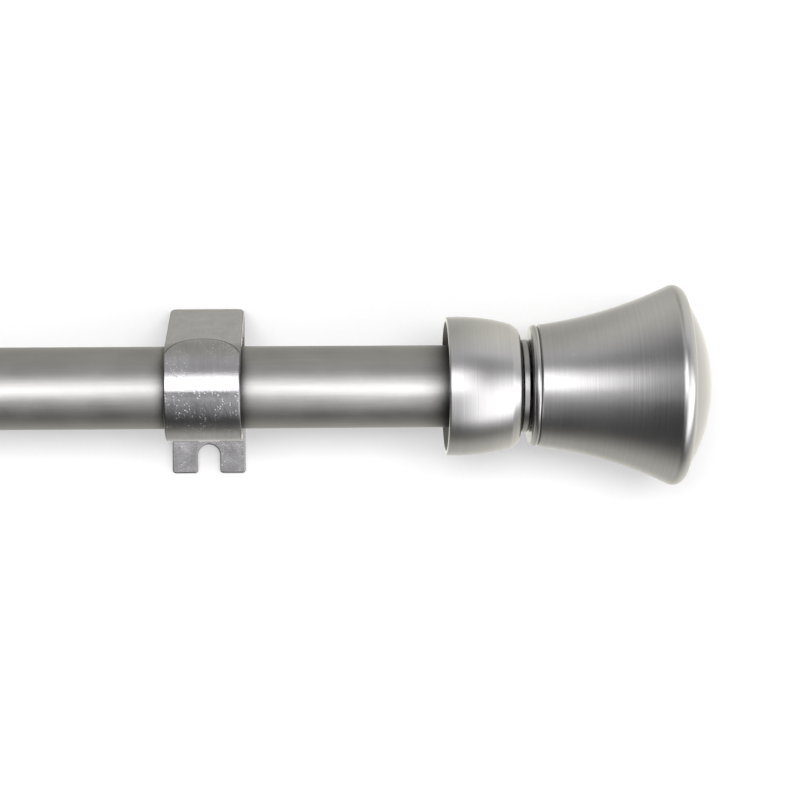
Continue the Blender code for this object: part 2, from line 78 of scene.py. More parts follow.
LOG = logging.getLogger("curtain_rod")
MM = 0.001
TURN_STEPS = 144
SMALL_TURN_STEPS = 64
CLOSE = 1e-7
THREAD_CLOSE = 1e-6
# An attribute that marks places for painted shade.
SHADE_MARK_LAYER = "bare_metal"
CALM_LAYER = "free_of_pits"
# An attribute that places a painted dark rim of shade along the tongue's tip.
TIP_LAYER = "tongue_tip"

Profile = list[Vector]
Corner = tuple[float, float, float]


class Side(Enum):
    """The two ends of the rod, by the way in which a finial points along X."""

    RIGHT = 1
    LEFT = -1

    @property
    def word(self) -> str:
        """The word that starts the names of this end's pieces."""
        return self.name.lower()


class Slot(Enum):
    """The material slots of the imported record."""

    TUBE = "tube_nickel"
    FINIAL = "finial_nickel"
    STRAP = "strap_nickel"
    ZINC = "zinc_plated_steel"
    NYLON = "grey_nylon"


# ---------------------------------------------------------------- finishes


class NodeSheet:
    """A node tree being drawn, with short ways to add and to join nodes."""

    def __init__(self, tree: bpy.types.NodeTree) -> None:
        """Clears a tree and starts to draw in it.

        Args:
            tree: The node tree of a material or of the world.
        """
        self.tree = tree
        self.tree.nodes.clear()

    def add(self, kind: str, settings: Optional[dict[str, Any]] = None, **inputs: Any) -> bpy.types.Node:
        """Adds a node, sets it and feeds its sockets.

        Args:
            kind: The node's type, without the words ShaderNode in front.
            settings: The node's own settings, by name.
            **inputs: Socket names with _ for a space. A value is a number, a tuple or a node's socket.

        Returns:
            The new node.
        """
        node = self.tree.nodes.new("ShaderNode" + kind)
        for name, value in (settings or {}).items():
            setattr(node, name, value)
        for name, value in inputs.items():
            self.feed(node, name.replace("_", " "), value)
        return node

    def feed(self, node: bpy.types.Node, name: str, value: Any) -> None:
        """Sets a socket, or links another node's socket to it.

        Args:
            node: The node that has the socket.
            name: The socket's name, or "in0", "in1" and so on for its place.
            value: A number, a tuple or a socket.
        """
        numbered = name.startswith("in") and name[2:].isdigit()
        socket = node.inputs[int(name[2:]) if numbered else name]
        if isinstance(value, bpy.types.NodeSocket):
            self.tree.links.new(value, socket)
        else:
            socket.default_value = value

    def math(self, operation: str, first: Any, second: Any = 0.0) -> bpy.types.NodeSocket:
        """Works out one sum.

        Args:
            operation: The Math node's operation.
            first: A number or a socket.
            second: A number or a socket.

        Returns:
            The socket with the answer.
        """
        return self.add("Math", {"operation": operation}, in0=first, in1=second).outputs[0]

    def noise(self, place: Any, scale: float, detail: float, **inputs: Any) -> bpy.types.NodeSocket:
        """Draws a noise.

        Args:
            place: The socket with the places.
            scale: The number of features in a unit of length.
            detail: The number of finer layers.
            **inputs: The noise's other sockets.

        Returns:
            The socket with the noise, which lies about 0.5.
        """
        return self.add("TexNoise", Vector=place, Scale=scale, Detail=detail, **inputs).outputs["Fac"]

    def ramp(self, value: Any, stops: Iterable[tuple[float, tuple[float, ...]]]) -> Any:
        """Turns a value into a colour.

        Args:
            value: The socket to read.
            stops: The place and the colour of each stop.

        Returns:
            The colour's socket.
        """
        node = self.add("ValToRGB", Fac=value)
        elements = node.color_ramp.elements
        while len(elements) > 1:
            elements.remove(elements[-1])
        for number, (place, color) in enumerate(stops):
            element = elements[0] if number == 0 else elements.new(place)
            element.position = place
            element.color = (*color, 1.0)
        return node.outputs["Color"]

    def blend(self, share: Any, first: Any, second: Any) -> Any:
        """Mixes two colours.

        Args:
            share: How much of the second colour, from 0 to 1.
            first: The first colour, or its socket.
            second: The second colour, or its socket.

        Returns:
            The mixed colour's socket.
        """
        return self.add("Mix", {"data_type": "RGBA"}, Factor=share, in6=first, in7=second).outputs[2]

    def spread(self, value: Any, low: float, high: float, start: float = 0.0, end: float = 1.0) -> Any:
        """Maps a value from one span to another.

        Args:
            value: The socket to read.
            low: The answer at the start.
            high: The answer at the end.
            start: The value that gives the low answer.
            end: The value that gives the high answer.

        Returns:
            The socket with the answer.
        """
        node = self.add("MapRange", Value=value, From_Min=start, From_Max=end, To_Min=low, To_Max=high)
        return node.outputs["Result"]


def blank_material(name: str) -> tuple[bpy.types.Material, NodeSheet]:
    """Starts a material.

    Args:
        name: The material's name.

    Returns:
        The material and the sheet to draw its nodes on.
    """
    material = bpy.data.materials.new(name)
    material.use_nodes = True
    return material, NodeSheet(material.node_tree)


@dataclass(frozen=True)
class MetalFinish:
    """A plated or lacquered metal with grain, fine lines, small pits and cloudy patches, painted glints in
    the pits and painted shade near other pieces and on marked places.

    The scales count features in a metre, and a line's two scales run along X and across it. The depths
    and the contact shade's reach are in metres. The rest are shares from 0 to 1.
    """

    name: str
    dark: tuple[float, float, float]
    light: tuple[float, float, float]
    roughness: tuple[float, float]
    line_scale: tuple[float, float]
    line_depth: float
    grain_scale: float
    grain_depth: float
    pit_scale: float
    pit_share: float
    patch_scale: float
    # contact_reach, contact_shade, contact_full and contact_open set painted shade: ambient occlusion
    # darkens the colour near other pieces.
    contact_reach: float = 0.006
    contact_shade: float = 0.75
    contact_full: float = 0.25
    pit_depth: float = 0.00002
    # pit_glint and glint_gain set the painted glint: how much, and how much brighter, the pits are
    # lightened.
    pit_glint: float = 0.5
    # How dark the painted shade is on the marked places.
    bare_shade: float = 0.0
    # Where the painted dark rim of shade along the tongue's tip starts and where it is full.
    tip_border: tuple[float, float] = (0.925, 0.965)
    pit_border: tuple[float, float] = (0.1, 0.34)
    pit_raggedness: tuple[float, float] = (1.6, 0.9)
    cluster_border: tuple[float, float] = (0.44, 0.6)
    between_clusters: float = 0.1
    pit_roughness: float = 0.12
    patch_share: float = 0.6
    tone_border: tuple[float, float] = (0.3, 0.7)
    glint_gain: float = 1.4
    # How dark the colour of the painted shade is, as a share of the dark tone.
    soot: float = 0.12
    contact_open: float = 0.9
    rough_grain: float = 0.5
    rough_border: tuple[float, float] = (0.4, 1.1)

    def make(self) -> bpy.types.Material:
        """Draws the finish's nodes.

        Returns:
            The material.
        """
        material, sheet = blank_material(self.name)
        place = sheet.add("TexCoord").outputs["Object"]
        stretch = (self.line_scale[0], self.line_scale[1], self.line_scale[1])
        along = sheet.add("Mapping", Vector=place, Scale=stretch).outputs["Vector"]
        lines = sheet.noise(along, scale=1.0, detail=4.0, Roughness=0.6)
        grain = sheet.noise(place, self.grain_scale, detail=3.0, Roughness=0.65)
        patch = sheet.noise(place, self.patch_scale, detail=5.0, Roughness=0.55, Distortion=0.4)
        pits = self.pits(sheet, place, patch)
        relief = ((lines, self.line_depth), (grain, self.grain_depth), (pits, -self.pit_depth))
        shader = sheet.add(
            "BsdfPrincipled",
            Base_Color=self.color(sheet, patch, lines, pits),
            Metallic=1.0,
            Roughness=self.gloss(sheet, patch, grain, pits),
        )
        sheet.feed(shader, "Normal", self.bumps(sheet, relief))
        sheet.add("OutputMaterial", Surface=shader.outputs[0])
        return material

    def pits(self, sheet: NodeSheet, place: Any, patch: Any) -> Any:
        """Draws small ragged pits, which gather in the lighter patches and leave the calm places free.

        Args:
            sheet: The sheet to draw on.
            place: The socket with the places.
            patch: The socket with the patches.

        Returns:
            The socket with the pits, 1 in the middle of a pit.
        """
        finer, reach = self.pit_raggedness
        ragged = sheet.add("TexNoise", Vector=place, Scale=self.pit_scale * finer, Detail=2.0)
        stray = (reach / self.pit_scale,) * 3
        moved = sheet.add(
            "VectorMath", {"operation": "MULTIPLY_ADD"}, in0=ragged.outputs["Color"], in1=stray, in2=place
        )
        cells = sheet.add(
            "TexVoronoi", Vector=moved.outputs["Vector"], Scale=self.pit_scale, Randomness=1.0
        )
        chosen = sheet.add("SeparateColor", Color=cells.outputs["Color"]).outputs["Red"]
        near = sheet.spread(cells.outputs["Distance"], 1.0, 0.0, *self.pit_border)
        cluster = sheet.spread(patch, self.between_clusters, 1.0, *self.cluster_border)
        pits = sheet.math("MULTIPLY", near, sheet.spread(chosen, 0.0, 1.0, 1.0 - self.pit_share, 1.0))
        calm = sheet.add("Attribute", {"attribute_name": CALM_LAYER}).outputs["Fac"]
        kept = sheet.math("MULTIPLY", cluster, sheet.math("SUBTRACT", 1.0, calm))
        return sheet.math("MULTIPLY", pits, kept)

    def color(self, sheet: NodeSheet, patch: Any, lines: Any, pits: Any) -> Any:
        """Draws the metal's colour: patches and lines, a painted glint in the pits, and the painted shade.

        Args:
            sheet: The sheet to draw on.
            patch: The socket with the patches.
            lines: The socket with the fine lines.
            pits: The socket with the pits.

        Returns:
            The colour's socket.
        """
        clouds = sheet.math("MULTIPLY", patch, self.patch_share)
        tone = sheet.math("ADD", clouds, sheet.math("MULTIPLY", lines, 1.0 - self.patch_share))
        color = sheet.ramp(tone, zip(self.tone_border, (self.dark, self.light)))
        # Painted glint: the pits are lightened towards a brighter colour.
        glint = tuple(min(1.0, value * self.glint_gain) for value in self.light)
        with_painted_glints = sheet.blend(sheet.math("MULTIPLY", pits, self.pit_glint), color, (*glint, 1.0))
        # The colour of the painted shade.
        painted_shade_color = tuple(value * self.soot for value in self.dark)
        return sheet.blend(self.shade(sheet), with_painted_glints, (*painted_shade_color, 1.0))

    def shade(self, sheet: NodeSheet) -> Any:
        """Draws the painted shade: darker where two pieces come close, and on marked places (the eased
        strap edges, the cup's bore and the tongue's tip).

        Args:
            sheet: The sheet to draw on.

        Returns:
            The socket with the share of dark.
        """
        # Painted shade: ambient occlusion darkens the colour where pieces come close.
        open_air = sheet.add("AmbientOcclusion", {"samples": 8}, Distance=self.contact_reach).outputs["AO"]
        contact = sheet.spread(open_air, self.contact_shade, 0.0, self.contact_full, self.contact_open)
        # Painted shade on marked places: the eased strap edges, the cup's bore, and a dark rim along the
        # tongue's tip.
        shade_marks = sheet.add("Attribute", {"attribute_name": SHADE_MARK_LAYER}).outputs["Fac"]
        tip = sheet.add("Attribute", {"attribute_name": TIP_LAYER}).outputs["Vector"]
        out = sheet.add("VectorMath", {"operation": "LENGTH"}, in0=tip).outputs["Value"]
        shade_marks = sheet.math("MAXIMUM", shade_marks, sheet.spread(out, 0.0, 1.0, *self.tip_border))
        return sheet.math("MAXIMUM", contact, sheet.math("MULTIPLY", shade_marks, self.bare_shade))

    def gloss(self, sheet: NodeSheet, patch: Any, grain: Any, pits: Any) -> Any:
        """Draws the metal's roughness.

        Args:
            sheet: The sheet to draw on.
            patch: The socket with the patches.
            grain: The socket with the grain.
            pits: The socket with the pits.

        Returns:
            The roughness's socket.
        """
        mixed = sheet.math("ADD", patch, sheet.math("MULTIPLY", grain, self.rough_grain))
        rough = sheet.spread(mixed, *self.roughness, *self.rough_border)
        return sheet.math("ADD", rough, sheet.math("MULTIPLY", pits, self.pit_roughness))

    def bumps(self, sheet: NodeSheet, relief: Iterable[tuple[Any, float]]) -> Any:
        """Lays one relief on another.

        Args:
            sheet: The sheet to draw on.
            relief: The socket and the depth of each.

        Returns:
            The socket with the surface's direction.
        """
        normal: Any = None
        for height, depth in relief:
            bump = sheet.add("Bump", Height=height, Strength=1.0, Distance=depth)
            if normal is not None:
                sheet.feed(bump, "Normal", normal)
            normal = bump.outputs["Normal"]
        return normal


@dataclass(frozen=True)
class NylonFinish:
    """Moulded nylon with a fine spark-eroded texture and a slight mottle."""

    name: str
    dark: tuple[float, float, float]
    light: tuple[float, float, float]
    texture_scale: float = 3500.0
    texture_depth: float = 0.00003
    mottle_scale: float = 160.0
    roughness: tuple[float, float] = (0.42, 0.6)
    border: tuple[float, float] = (0.3, 0.7)

    def make(self) -> bpy.types.Material:
        """Draws the finish's nodes.

        Returns:
            The material.
        """
        material, sheet = blank_material(self.name)
        place = sheet.add("TexCoord").outputs["Object"]
        mottle = sheet.noise(place, self.mottle_scale, detail=4.0)
        texture = sheet.noise(place, self.texture_scale, detail=2.0)
        bump = sheet.add("Bump", Height=texture, Strength=1.0, Distance=self.texture_depth)
        shader = sheet.add(
            "BsdfPrincipled",
            Base_Color=sheet.ramp(mottle, zip(self.border, (self.dark, self.light))),
            Roughness=sheet.spread(texture, *self.roughness, *self.border),
            Normal=bump.outputs["Normal"],
        )
        sheet.add("OutputMaterial", Surface=shader.outputs[0])
        return material


Finish = MetalFinish | NylonFinish

FINISHES: dict[Slot, Finish] = {
    Slot.TUBE: MetalFinish(
        name="satin_nickel_tube",
        dark=(0.385, 0.378, 0.360),
        light=(0.475, 0.468, 0.452),
        roughness=(0.36, 0.46),
        line_scale=(60.0, 2600.0),
        line_depth=0.000012,
        grain_scale=2400.0,
        grain_depth=0.000018,
        pit_scale=1300.0,
        pit_share=0.14,
        patch_scale=90.0,
        # Painted shade on the tube beside the brackets and at the cups.
        contact_reach=0.012,
        contact_shade=0.9,
        contact_full=0.5,
    ),
    Slot.FINIAL: MetalFinish(
        name="satin_nickel_finial",
        dark=(0.580, 0.572, 0.560),
        light=(0.670, 0.664, 0.655),
        roughness=(0.21, 0.28),
        line_scale=(2600.0, 14.0),
        line_depth=0.000012,
        grain_scale=900.0,
        grain_depth=0.000003,
        pit_scale=500.0,
        pit_share=0.05,
        patch_scale=70.0,
        contact_shade=0.6,
        # Painted shade in the cup's bore.
        bare_shade=0.8,
    ),
    Slot.STRAP: MetalFinish(
        name="bright_nickel_strap",
        dark=(0.520, 0.512, 0.515),
        light=(0.640, 0.632, 0.640),
        roughness=(0.10, 0.19),
        line_scale=(1500.0, 220.0),
        line_depth=0.000009,
        grain_scale=1100.0,
        grain_depth=0.000017,
        pit_scale=1600.0,
        pit_share=0.75,
        pit_depth=0.00006,
        # Painted glints in the pits; painted shade on the eased edges, the tongue's tip and near other
        # pieces.
        pit_glint=0.6,
        patch_scale=230.0,
        bare_shade=0.8,
        contact_reach=0.003,
        contact_shade=0.92,
        contact_full=0.45,
    ),
    Slot.ZINC: MetalFinish(
        name="zinc_plated_steel",
        dark=(0.560, 0.580, 0.600),
        light=(0.700, 0.715, 0.730),
        roughness=(0.28, 0.42),
        line_scale=(1200.0, 200.0),
        line_depth=0.000008,
        grain_scale=1800.0,
        grain_depth=0.000012,
        pit_scale=1500.0,
        pit_share=0.12,
        patch_scale=300.0,
    ),
    Slot.NYLON: NylonFinish(
        name="grey_moulded_nylon",
        dark=(0.055, 0.055, 0.058),
        light=(0.085, 0.085, 0.090),
    ),
}


class FinishRack:
    """Makes each finish's material once."""

    def __init__(self) -> None:
        """Starts with no material made."""
        self.made: dict[Slot, bpy.types.Material] = {}

    def get(self, slot: Slot) -> bpy.types.Material:
        """The material of a slot.

        Args:
            slot: The record's slot.

        Returns:
            Its material.
        """
        if slot not in self.made:
            self.made[slot] = FINISHES[slot].make()
        return self.made[slot]


# ---------------------------------------------------------------- outlines


def fillet(before: Vector, corner: Vector, after: Vector, radius: float, steps: int) -> Profile:
    """Rounds one corner.

    Args:
        before: The point before the corner.
        corner: The corner.
        after: The point after it.
        radius: The radius of the arc.
        steps: The number of straight steps in the arc.

    Returns:
        The arc's points, in place of the corner.
    """
    to_before = (before - corner).normalized()
    to_after = (after - corner).normalized()
    opening = to_before.angle(to_after)
    reach = radius / math.tan(opening / 2)
    centre = corner + (to_before + to_after).normalized() * (radius / math.sin(opening / 2))
    first = corner + to_before * reach - centre
    last = corner + to_after * reach - centre
    turn = math.atan2(first.x * last.y - first.y * last.x, first.dot(last))
    return [centre + Matrix.Rotation(turn * i / steps, 2) @ first for i in range(steps + 1)]


def outline(corners: Sequence[Corner], steps: int = 6) -> Profile:
    """Draws a closed outline with rounded corners.

    Args:
        corners: Each corner's place and the radius that rounds it, or 0.
        steps: The number of straight steps in each arc.

    Returns:
        The outline's points.
    """
    places = [Vector(corner[:2]) for corner in corners]
    points: Profile = []
    for i, corner in enumerate(corners):
        if corner[2] > 0:
            after = places[(i + 1) % len(places)]
            points += fillet(places[i - 1], places[i], after, corner[2], steps)
        else:
            points.append(places[i])
    return points


def arc_between(start: Vector, end: Vector, radius: float, steps: int) -> Profile:
    """Draws the inside of an arc that bulges to the right of the way from start to end.

    Args:
        start: The arc's first end.
        end: Its other end.
        radius: Its radius.
        steps: The number of straight steps.

    Returns:
        The points between the two ends.
    """
    chord = end - start
    rise = math.sqrt(radius**2 - chord.length_squared / 4)
    centre = (start + end) / 2 + Vector((-chord.y, chord.x)).normalized() * rise
    first = start - centre
    last = end - centre
    turn = math.atan2(first.x * last.y - first.y * last.x, first.dot(last))
    return [centre + Matrix.Rotation(turn * i / steps, 2) @ first for i in range(1, steps)]


def arc_about(centre: Sequence[float], radius: float, first: float, last: float, steps: int) -> Profile:
    """Draws an arc about its centre.

    Args:
        centre: The centre.
        radius: The radius.
        first: The angle of the arc's first point.
        last: The angle of its last point.
        steps: The number of straight steps.

    Returns:
        The arc's points, with both ends.
    """
    points = []
    for i in range(steps + 1):
        angle = first + (last - first) * i / steps
        points.append(Vector(centre) + Vector((math.cos(angle), math.sin(angle))) * radius)
    return points


def dome_to_axis(top: float, radius: float, edge: float, steps: int) -> Profile:
    """Draws half of a dome, from its edge to its top on the axis.

    Args:
        top: Where the top is along the axis.
        radius: The dome's radius.
        edge: How far its edge is from the axis.
        steps: The number of straight steps.

    Returns:
        The points, along the axis and away from it.
    """
    points = arc_about((top - radius, 0), radius, math.asin(edge / radius), 0, steps)
    points[-1].y = 0
    return points


# ---------------------------------------------------------------- pieces


def object_from(bm: bmesh.types.BMesh, name: str) -> bpy.types.Object:
    """Makes an object of a finished mesh.

    Args:
        bm: The mesh, which is freed.
        name: The object's name.

    Returns:
        The object, in the scene.
    """
    mesh = bpy.data.meshes.new(name)
    bm.to_mesh(mesh)
    bm.free()
    made = bpy.data.objects.new(name, mesh)
    bpy.context.scene.collection.objects.link(made)
    return made


@dataclass
class Workbench:
    """Makes objects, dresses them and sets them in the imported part."""

    rack: FinishRack = field(default_factory=FinishRack)
    pieces: list[bpy.types.Object] = field(default_factory=list)

    def body_of(self, node: str) -> str:
        """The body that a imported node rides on.

        Args:
            node: The node's name.

        Returns:
            The body's name.
        """
        bodies = frame["record"]["behaviour"]["bodies"]
        return next(body for body, nodes in bodies.items() if node in nodes)

    def settle(self, piece: bpy.types.Object) -> None:
        """Turns a piece's modifiers into its mesh.

        Args:
            piece: The object.
        """
        graph = bpy.context.evaluated_depsgraph_get()
        mesh = bpy.data.meshes.new_from_object(
            piece.evaluated_get(graph), preserve_all_data_layers=True, depsgraph=graph
        )
        piece.modifiers.clear()
        old = piece.data
        mesh.name = piece.name
        piece.data = mesh
        bpy.data.meshes.remove(old)

    def add(
        self,
        bm: bmesh.types.BMesh,
        node: str,
        slot: Slot,
        sharp: float = 40.0,
        holes: Sequence[bpy.types.Object] = (),
    ) -> bpy.types.Object:
        """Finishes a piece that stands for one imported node.

        Args:
            bm: The piece's mesh, in its place.
            node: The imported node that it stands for.
            slot: Its finish.
            sharp: The angle in degrees past which an edge stays sharp.
            holes: Cutters to take away from it, which are removed afterwards.

        Returns:
            The finished object.
        """
        bmesh.ops.recalc_face_normals(bm, faces=bm.faces)
        piece = object_from(bm, "seen_" + node)
        for cutter in holes:
            cut = piece.modifiers.new(cutter.name, "BOOLEAN")
            cut.operation = "DIFFERENCE"
            cut.solver = "EXACT"
            cut.object = cutter
        if holes:
            self.settle(piece)
        for cutter in holes:
            bpy.data.objects.remove(cutter, do_unlink=True)
        piece.data.shade_smooth()
        piece.data.set_sharp_from_angle(angle=math.radians(sharp))
        weighted = piece.modifiers.new("even_normals", "WEIGHTED_NORMAL")
        weighted.mode = "FACE_AREA"
        weighted.keep_sharp = True
        self.settle(piece)
        piece.data.materials.clear()
        piece.data.materials.append(self.rack.get(slot))
        body = self.body_of(node)
        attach(piece, body)
        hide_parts(node)
        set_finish(piece, slot.value)
        self.pieces.append(piece)
        faces = len(piece.data.polygons)
        LOG.info("%s: %d faces, on body %s, in %s", piece.name, faces, body, slot.value)
        return piece


def middle(node: str) -> Vector:
    """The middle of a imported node's box.

    Args:
        node: The node's name.

    Returns:
        The middle.
    """
    low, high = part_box(node)
    return (low + high) / 2


def revolve(points: Profile, steps: int = TURN_STEPS) -> bmesh.types.BMesh:
    """Turns a profile about the X axis.

    Args:
        points: The profile's points, along the axis and away from it. An end on the axis is closed.
        steps: The number of facets round the axis.

    Returns:
        The mesh, round the X axis.
    """
    bm = bmesh.new()
    corners = [bm.verts.new((point.x, 0, point.y)) for point in points]
    on_axis = points[0].y < CLOSE and points[-1].y < CLOSE
    pairs = list(zip(corners, corners[1:])) + ([] if on_axis else [(corners[-1], corners[0])])
    edges = [bm.edges.new(pair) for pair in pairs]
    bmesh.ops.spin(
        bm,
        geom=corners + edges,
        cent=(0, 0, 0),
        axis=(1, 0, 0),
        angle=2 * math.pi,
        steps=steps,
        use_merge=True,
    )
    bmesh.ops.remove_doubles(bm, verts=bm.verts, dist=CLOSE)
    return bm


def place_on_rod(bm: bmesh.types.BMesh, x: float, axis: Vector, side: Side) -> None:
    """Moves a turned mesh to the rod's axis.

    Args:
        bm: The mesh, round the X axis.
        x: Where its own 0 goes.
        axis: A point on the rod's axis.
        side: The end that it points to.
    """
    if side is Side.LEFT:
        bmesh.ops.rotate(bm, verts=bm.verts, matrix=Matrix.Rotation(math.pi, 3, "Z"))
    bmesh.ops.translate(bm, verts=bm.verts, vec=(x, axis.y, axis.z))


# ---------------------------------------------------------------- bent straps


class StrapPath:
    """A strap's middle line in the (y, z) plane, made of lines and arcs that run on smoothly."""

    def __init__(self, start: tuple[float, float] | Vector, heading: float) -> None:
        """Starts a path.

        Args:
            start: Its first point.
            heading: Its first direction, as an angle from Y towards Z.
        """
        self.pieces: list[tuple[float, float, Vector, float, Optional[tuple[float, float]]]] = []
        self.length = 0.0
        self.end = Vector(start)
        self.heading = heading

    def line(self, length: float) -> "StrapPath":
        """Goes straight on.

        Args:
            length: How far.

        Returns:
            The path itself.
        """
        self.pieces.append((self.length, self.length + length, self.end.copy(), self.heading, None))
        self.end += Vector((math.cos(self.heading), math.sin(self.heading))) * length
        self.length += length
        return self

    def arc(self, radius: float, turn: float) -> "StrapPath":
        """Bends to the left, or to the right when the turn is negative.

        Args:
            radius: The bend's radius.
            turn: Its angle.

        Returns:
            The path itself.
        """
        length = radius * abs(turn)
        side = math.copysign(math.pi / 2, turn)
        to_centre = Vector((math.cos(self.heading + side), math.sin(self.heading + side))) * radius
        centre = self.end + to_centre
        self.pieces.append((self.length, self.length + length, centre, self.heading, (radius, turn)))
        self.end = centre + Matrix.Rotation(turn, 2) @ -to_centre
        self.heading += turn
        self.length += length
        return self

    def at(self, along: float, offset: float) -> Vector:
        """Finds a point by its place on the flat strap.

        Args:
            along: The length along the path.
            offset: The distance to the left of it.

        Returns:
            The point.
        """
        piece = next((p for p in self.pieces if along <= p[1]), self.pieces[-1])
        start, stop, place, heading, bend = piece
        if bend is None:
            ahead = Vector((math.cos(heading), math.sin(heading)))
            return place + ahead * (along - start) + Vector((-ahead.y, ahead.x)) * offset
        radius, turn = bend
        heading += turn * (along - start) / (stop - start)
        side = Vector((-math.sin(heading), math.cos(heading)))
        return place - side * math.copysign(radius, turn) + side * offset

    def stations(self, step: float) -> list[float]:
        """Finds the lengths at which the strap needs a row of points.

        Args:
            step: The most that the direction changes between two of them.

        Returns:
            The lengths, in order.
        """
        found: list[float] = []
        for start, stop, _place, _heading, bend in self.pieces:
            if bend is None:
                continue
            count = max(1, math.ceil(abs(bend[1]) / step))
            found += [start + (stop - start) * i / count for i in range(count + 1)]
        return sorted(set(found))


def tangent(offset: tuple[float, float], radius_gap: float, side: int) -> tuple[float, float]:
    """Finds the straight run between two bends that turn the same way.

    Args:
        offset: The way from the first bend's centre to the second's.
        radius_gap: The second bend's radius less the first's.
        side: 1 when the bends lie to the left of the run, or -1.

    Returns:
        The run's heading and its length.
    """
    distance = math.hypot(*offset)
    heading = math.atan2(offset[1], offset[0]) + side * math.asin(radius_gap / distance)
    return heading % (2 * math.pi), math.sqrt(distance**2 - radius_gap**2)


@dataclass
class Bracket:
    """A ring bracket: two bent straps, the rivets that join them and the liner round the tube."""

    side: Side
    bench: Workbench
    thickness: float = 1.3 * MM
    layer_gap: float = 0.25 * MM
    clearance: float = 0.3 * MM
    edge: float = 0.32 * MM
    tongue_edge: float = 0.5 * MM
    edge_steps: int = 3
    fold_radius: float = 2.2 * MM
    fold_corner: float = 1.0 * MM
    hook_end_angle: float = 40.0
    slot_width: float = 5.8 * MM
    slot_top: float = 15.9 * MM
    tine_corner: float = 0.8 * MM
    foot_bend_drop: float = 3.0 * MM
    foot_bend_radius: float = 3.0 * MM
    tongue_tip_angle: float = 69.0
    tongue_rise: float = 5.6 * MM
    liner_angle: float = 172.0
    rivet_shank: float = 1.5 * MM
    rivet_head: float = 1.3 * MM
    rivet_brim: float = 0.35 * MM
    rivet_tail_round: float = 0.2 * MM
    rivet_head_ease: float = 0.1 * MM
    liner_corner: float = 1.2 * MM
    liner_edge: float = 0.25 * MM
    hook_calm: float = 0.85
    bend_step: float = math.radians(2.5)
    fold_steps: int = 10
    arch_steps: int = 24
    tip_steps: int = 36
    head_steps: int = 14
    tail_steps: int = 3
    hole_steps: int = 48
    sharp_angle: float = 50.0

    def __post_init__(self) -> None:
        """Reads the bracket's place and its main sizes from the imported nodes."""
        word = self.side.word
        self.hook_name = f"{word}_bracket_hook_strap"
        self.cradle_name = f"{word}_bracket_cradle_strap"
        self.liner_name = f"{word}_bracket_liner"
        low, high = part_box(self.hook_name)
        self.x = (low.x + high.x) / 2
        self.width = high.x - low.x
        self.leg_bottom = -low.z
        self.leg_top = high.z
        self.foot_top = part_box(self.cradle_name)[1].z
        self.axis = middle("outer_tube")
        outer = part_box("outer_tube")
        self.outer_radius = (outer[1].z - outer[0].z) / 2
        self.hook_radius = self.outer_radius + self.clearance + self.thickness / 2
        self.cradle_radius = self.hook_radius + self.thickness + self.layer_gap

    def hook_path(self) -> StrapPath:
        """Draws the hook strap's line: up the wall, folded forward, down a ramp and over the rod.

        Returns:
            The path.
        """
        leg_y = -self.thickness / 2
        fold_z = self.leg_top - self.fold_radius - self.thickness / 2
        fold_y = leg_y - self.fold_radius
        ramp, run = tangent(
            (self.axis.y - fold_y, self.axis.z - fold_z), self.hook_radius - self.fold_radius, -1
        )
        path = StrapPath((leg_y, -self.leg_bottom), math.pi / 2)
        path.line(self.leg_bottom + fold_z)
        path.arc(self.fold_radius, ramp - math.pi / 2)
        path.line(run)
        end = math.radians(180 - self.hook_end_angle) + math.pi / 2
        return path.arc(self.hook_radius, end - ramp)

    def cradle_path(self) -> StrapPath:
        """Draws the cradle strap's line: down from its foot, forward under the rod and up to the tongue.

        Returns:
            The path.
        """
        foot_y = -self.thickness * 1.5 - self.layer_gap
        bend_y = foot_y - self.foot_bend_radius
        under, run = tangent(
            (self.axis.y - bend_y, self.foot_bend_drop), self.cradle_radius - self.foot_bend_radius, 1
        )
        path = StrapPath((foot_y, self.foot_top), -math.pi / 2)
        path.line(self.foot_top + self.foot_bend_drop)
        path.arc(self.foot_bend_radius, under - 1.5 * math.pi)
        path.line(run)
        end = math.radians(180 - self.tongue_tip_angle) - math.pi / 2
        return path.arc(self.cradle_radius, end - under)

    def fold_dips(self, path: StrapPath) -> list[Corner]:
        """Narrows the hook strap at its fold, which rounds its top corners when seen from the front.

        Args:
            path: The hook strap's line, whose second run is the fold.

        Returns:
            The outline's corners on the left edge, from the rod's side to the wall's.
        """
        outer = self.fold_radius + self.thickness / 2
        reach = self.fold_radius * math.acos(1 - self.fold_corner / outer)
        top = path.pieces[1][0] + self.fold_radius * math.pi / 2
        dips = []
        for i in range(self.fold_steps, -self.fold_steps - 1, -1):
            offset = reach * i / self.fold_steps
            left = self.fold_corner - outer * (1 - math.cos(offset / self.fold_radius))
            inset = self.fold_corner - math.sqrt(max(0.0, self.fold_corner**2 - left**2))
            dips.append((inset - self.width / 2, top + offset, 0.0))
        return dips

    def fork_blank(self, path: StrapPath) -> Profile:
        """The hook strap cut flat: a fork for the wall screw at one end, eased corners at the other.

        Args:
            path: The strap's line.

        Returns:
            The outline's points, across and along the strap.
        """
        half = self.width / 2
        slot = self.slot_width / 2
        slot_round = self.leg_bottom - self.slot_top - slot
        corners = [(-half, path.length, self.tine_corner)] + self.fold_dips(path)
        corners += [(-half, 0, self.tine_corner), (-slot, 0, self.tine_corner)]
        left = outline(corners + [(-slot, slot_round, 0), (0, path.length, 0)])[:-1]
        arch = arc_about((0, slot_round), slot, math.pi, 0, self.arch_steps)[1:-1]
        return left + arch + [Vector((-point.x, point.y)) for point in reversed(left)]

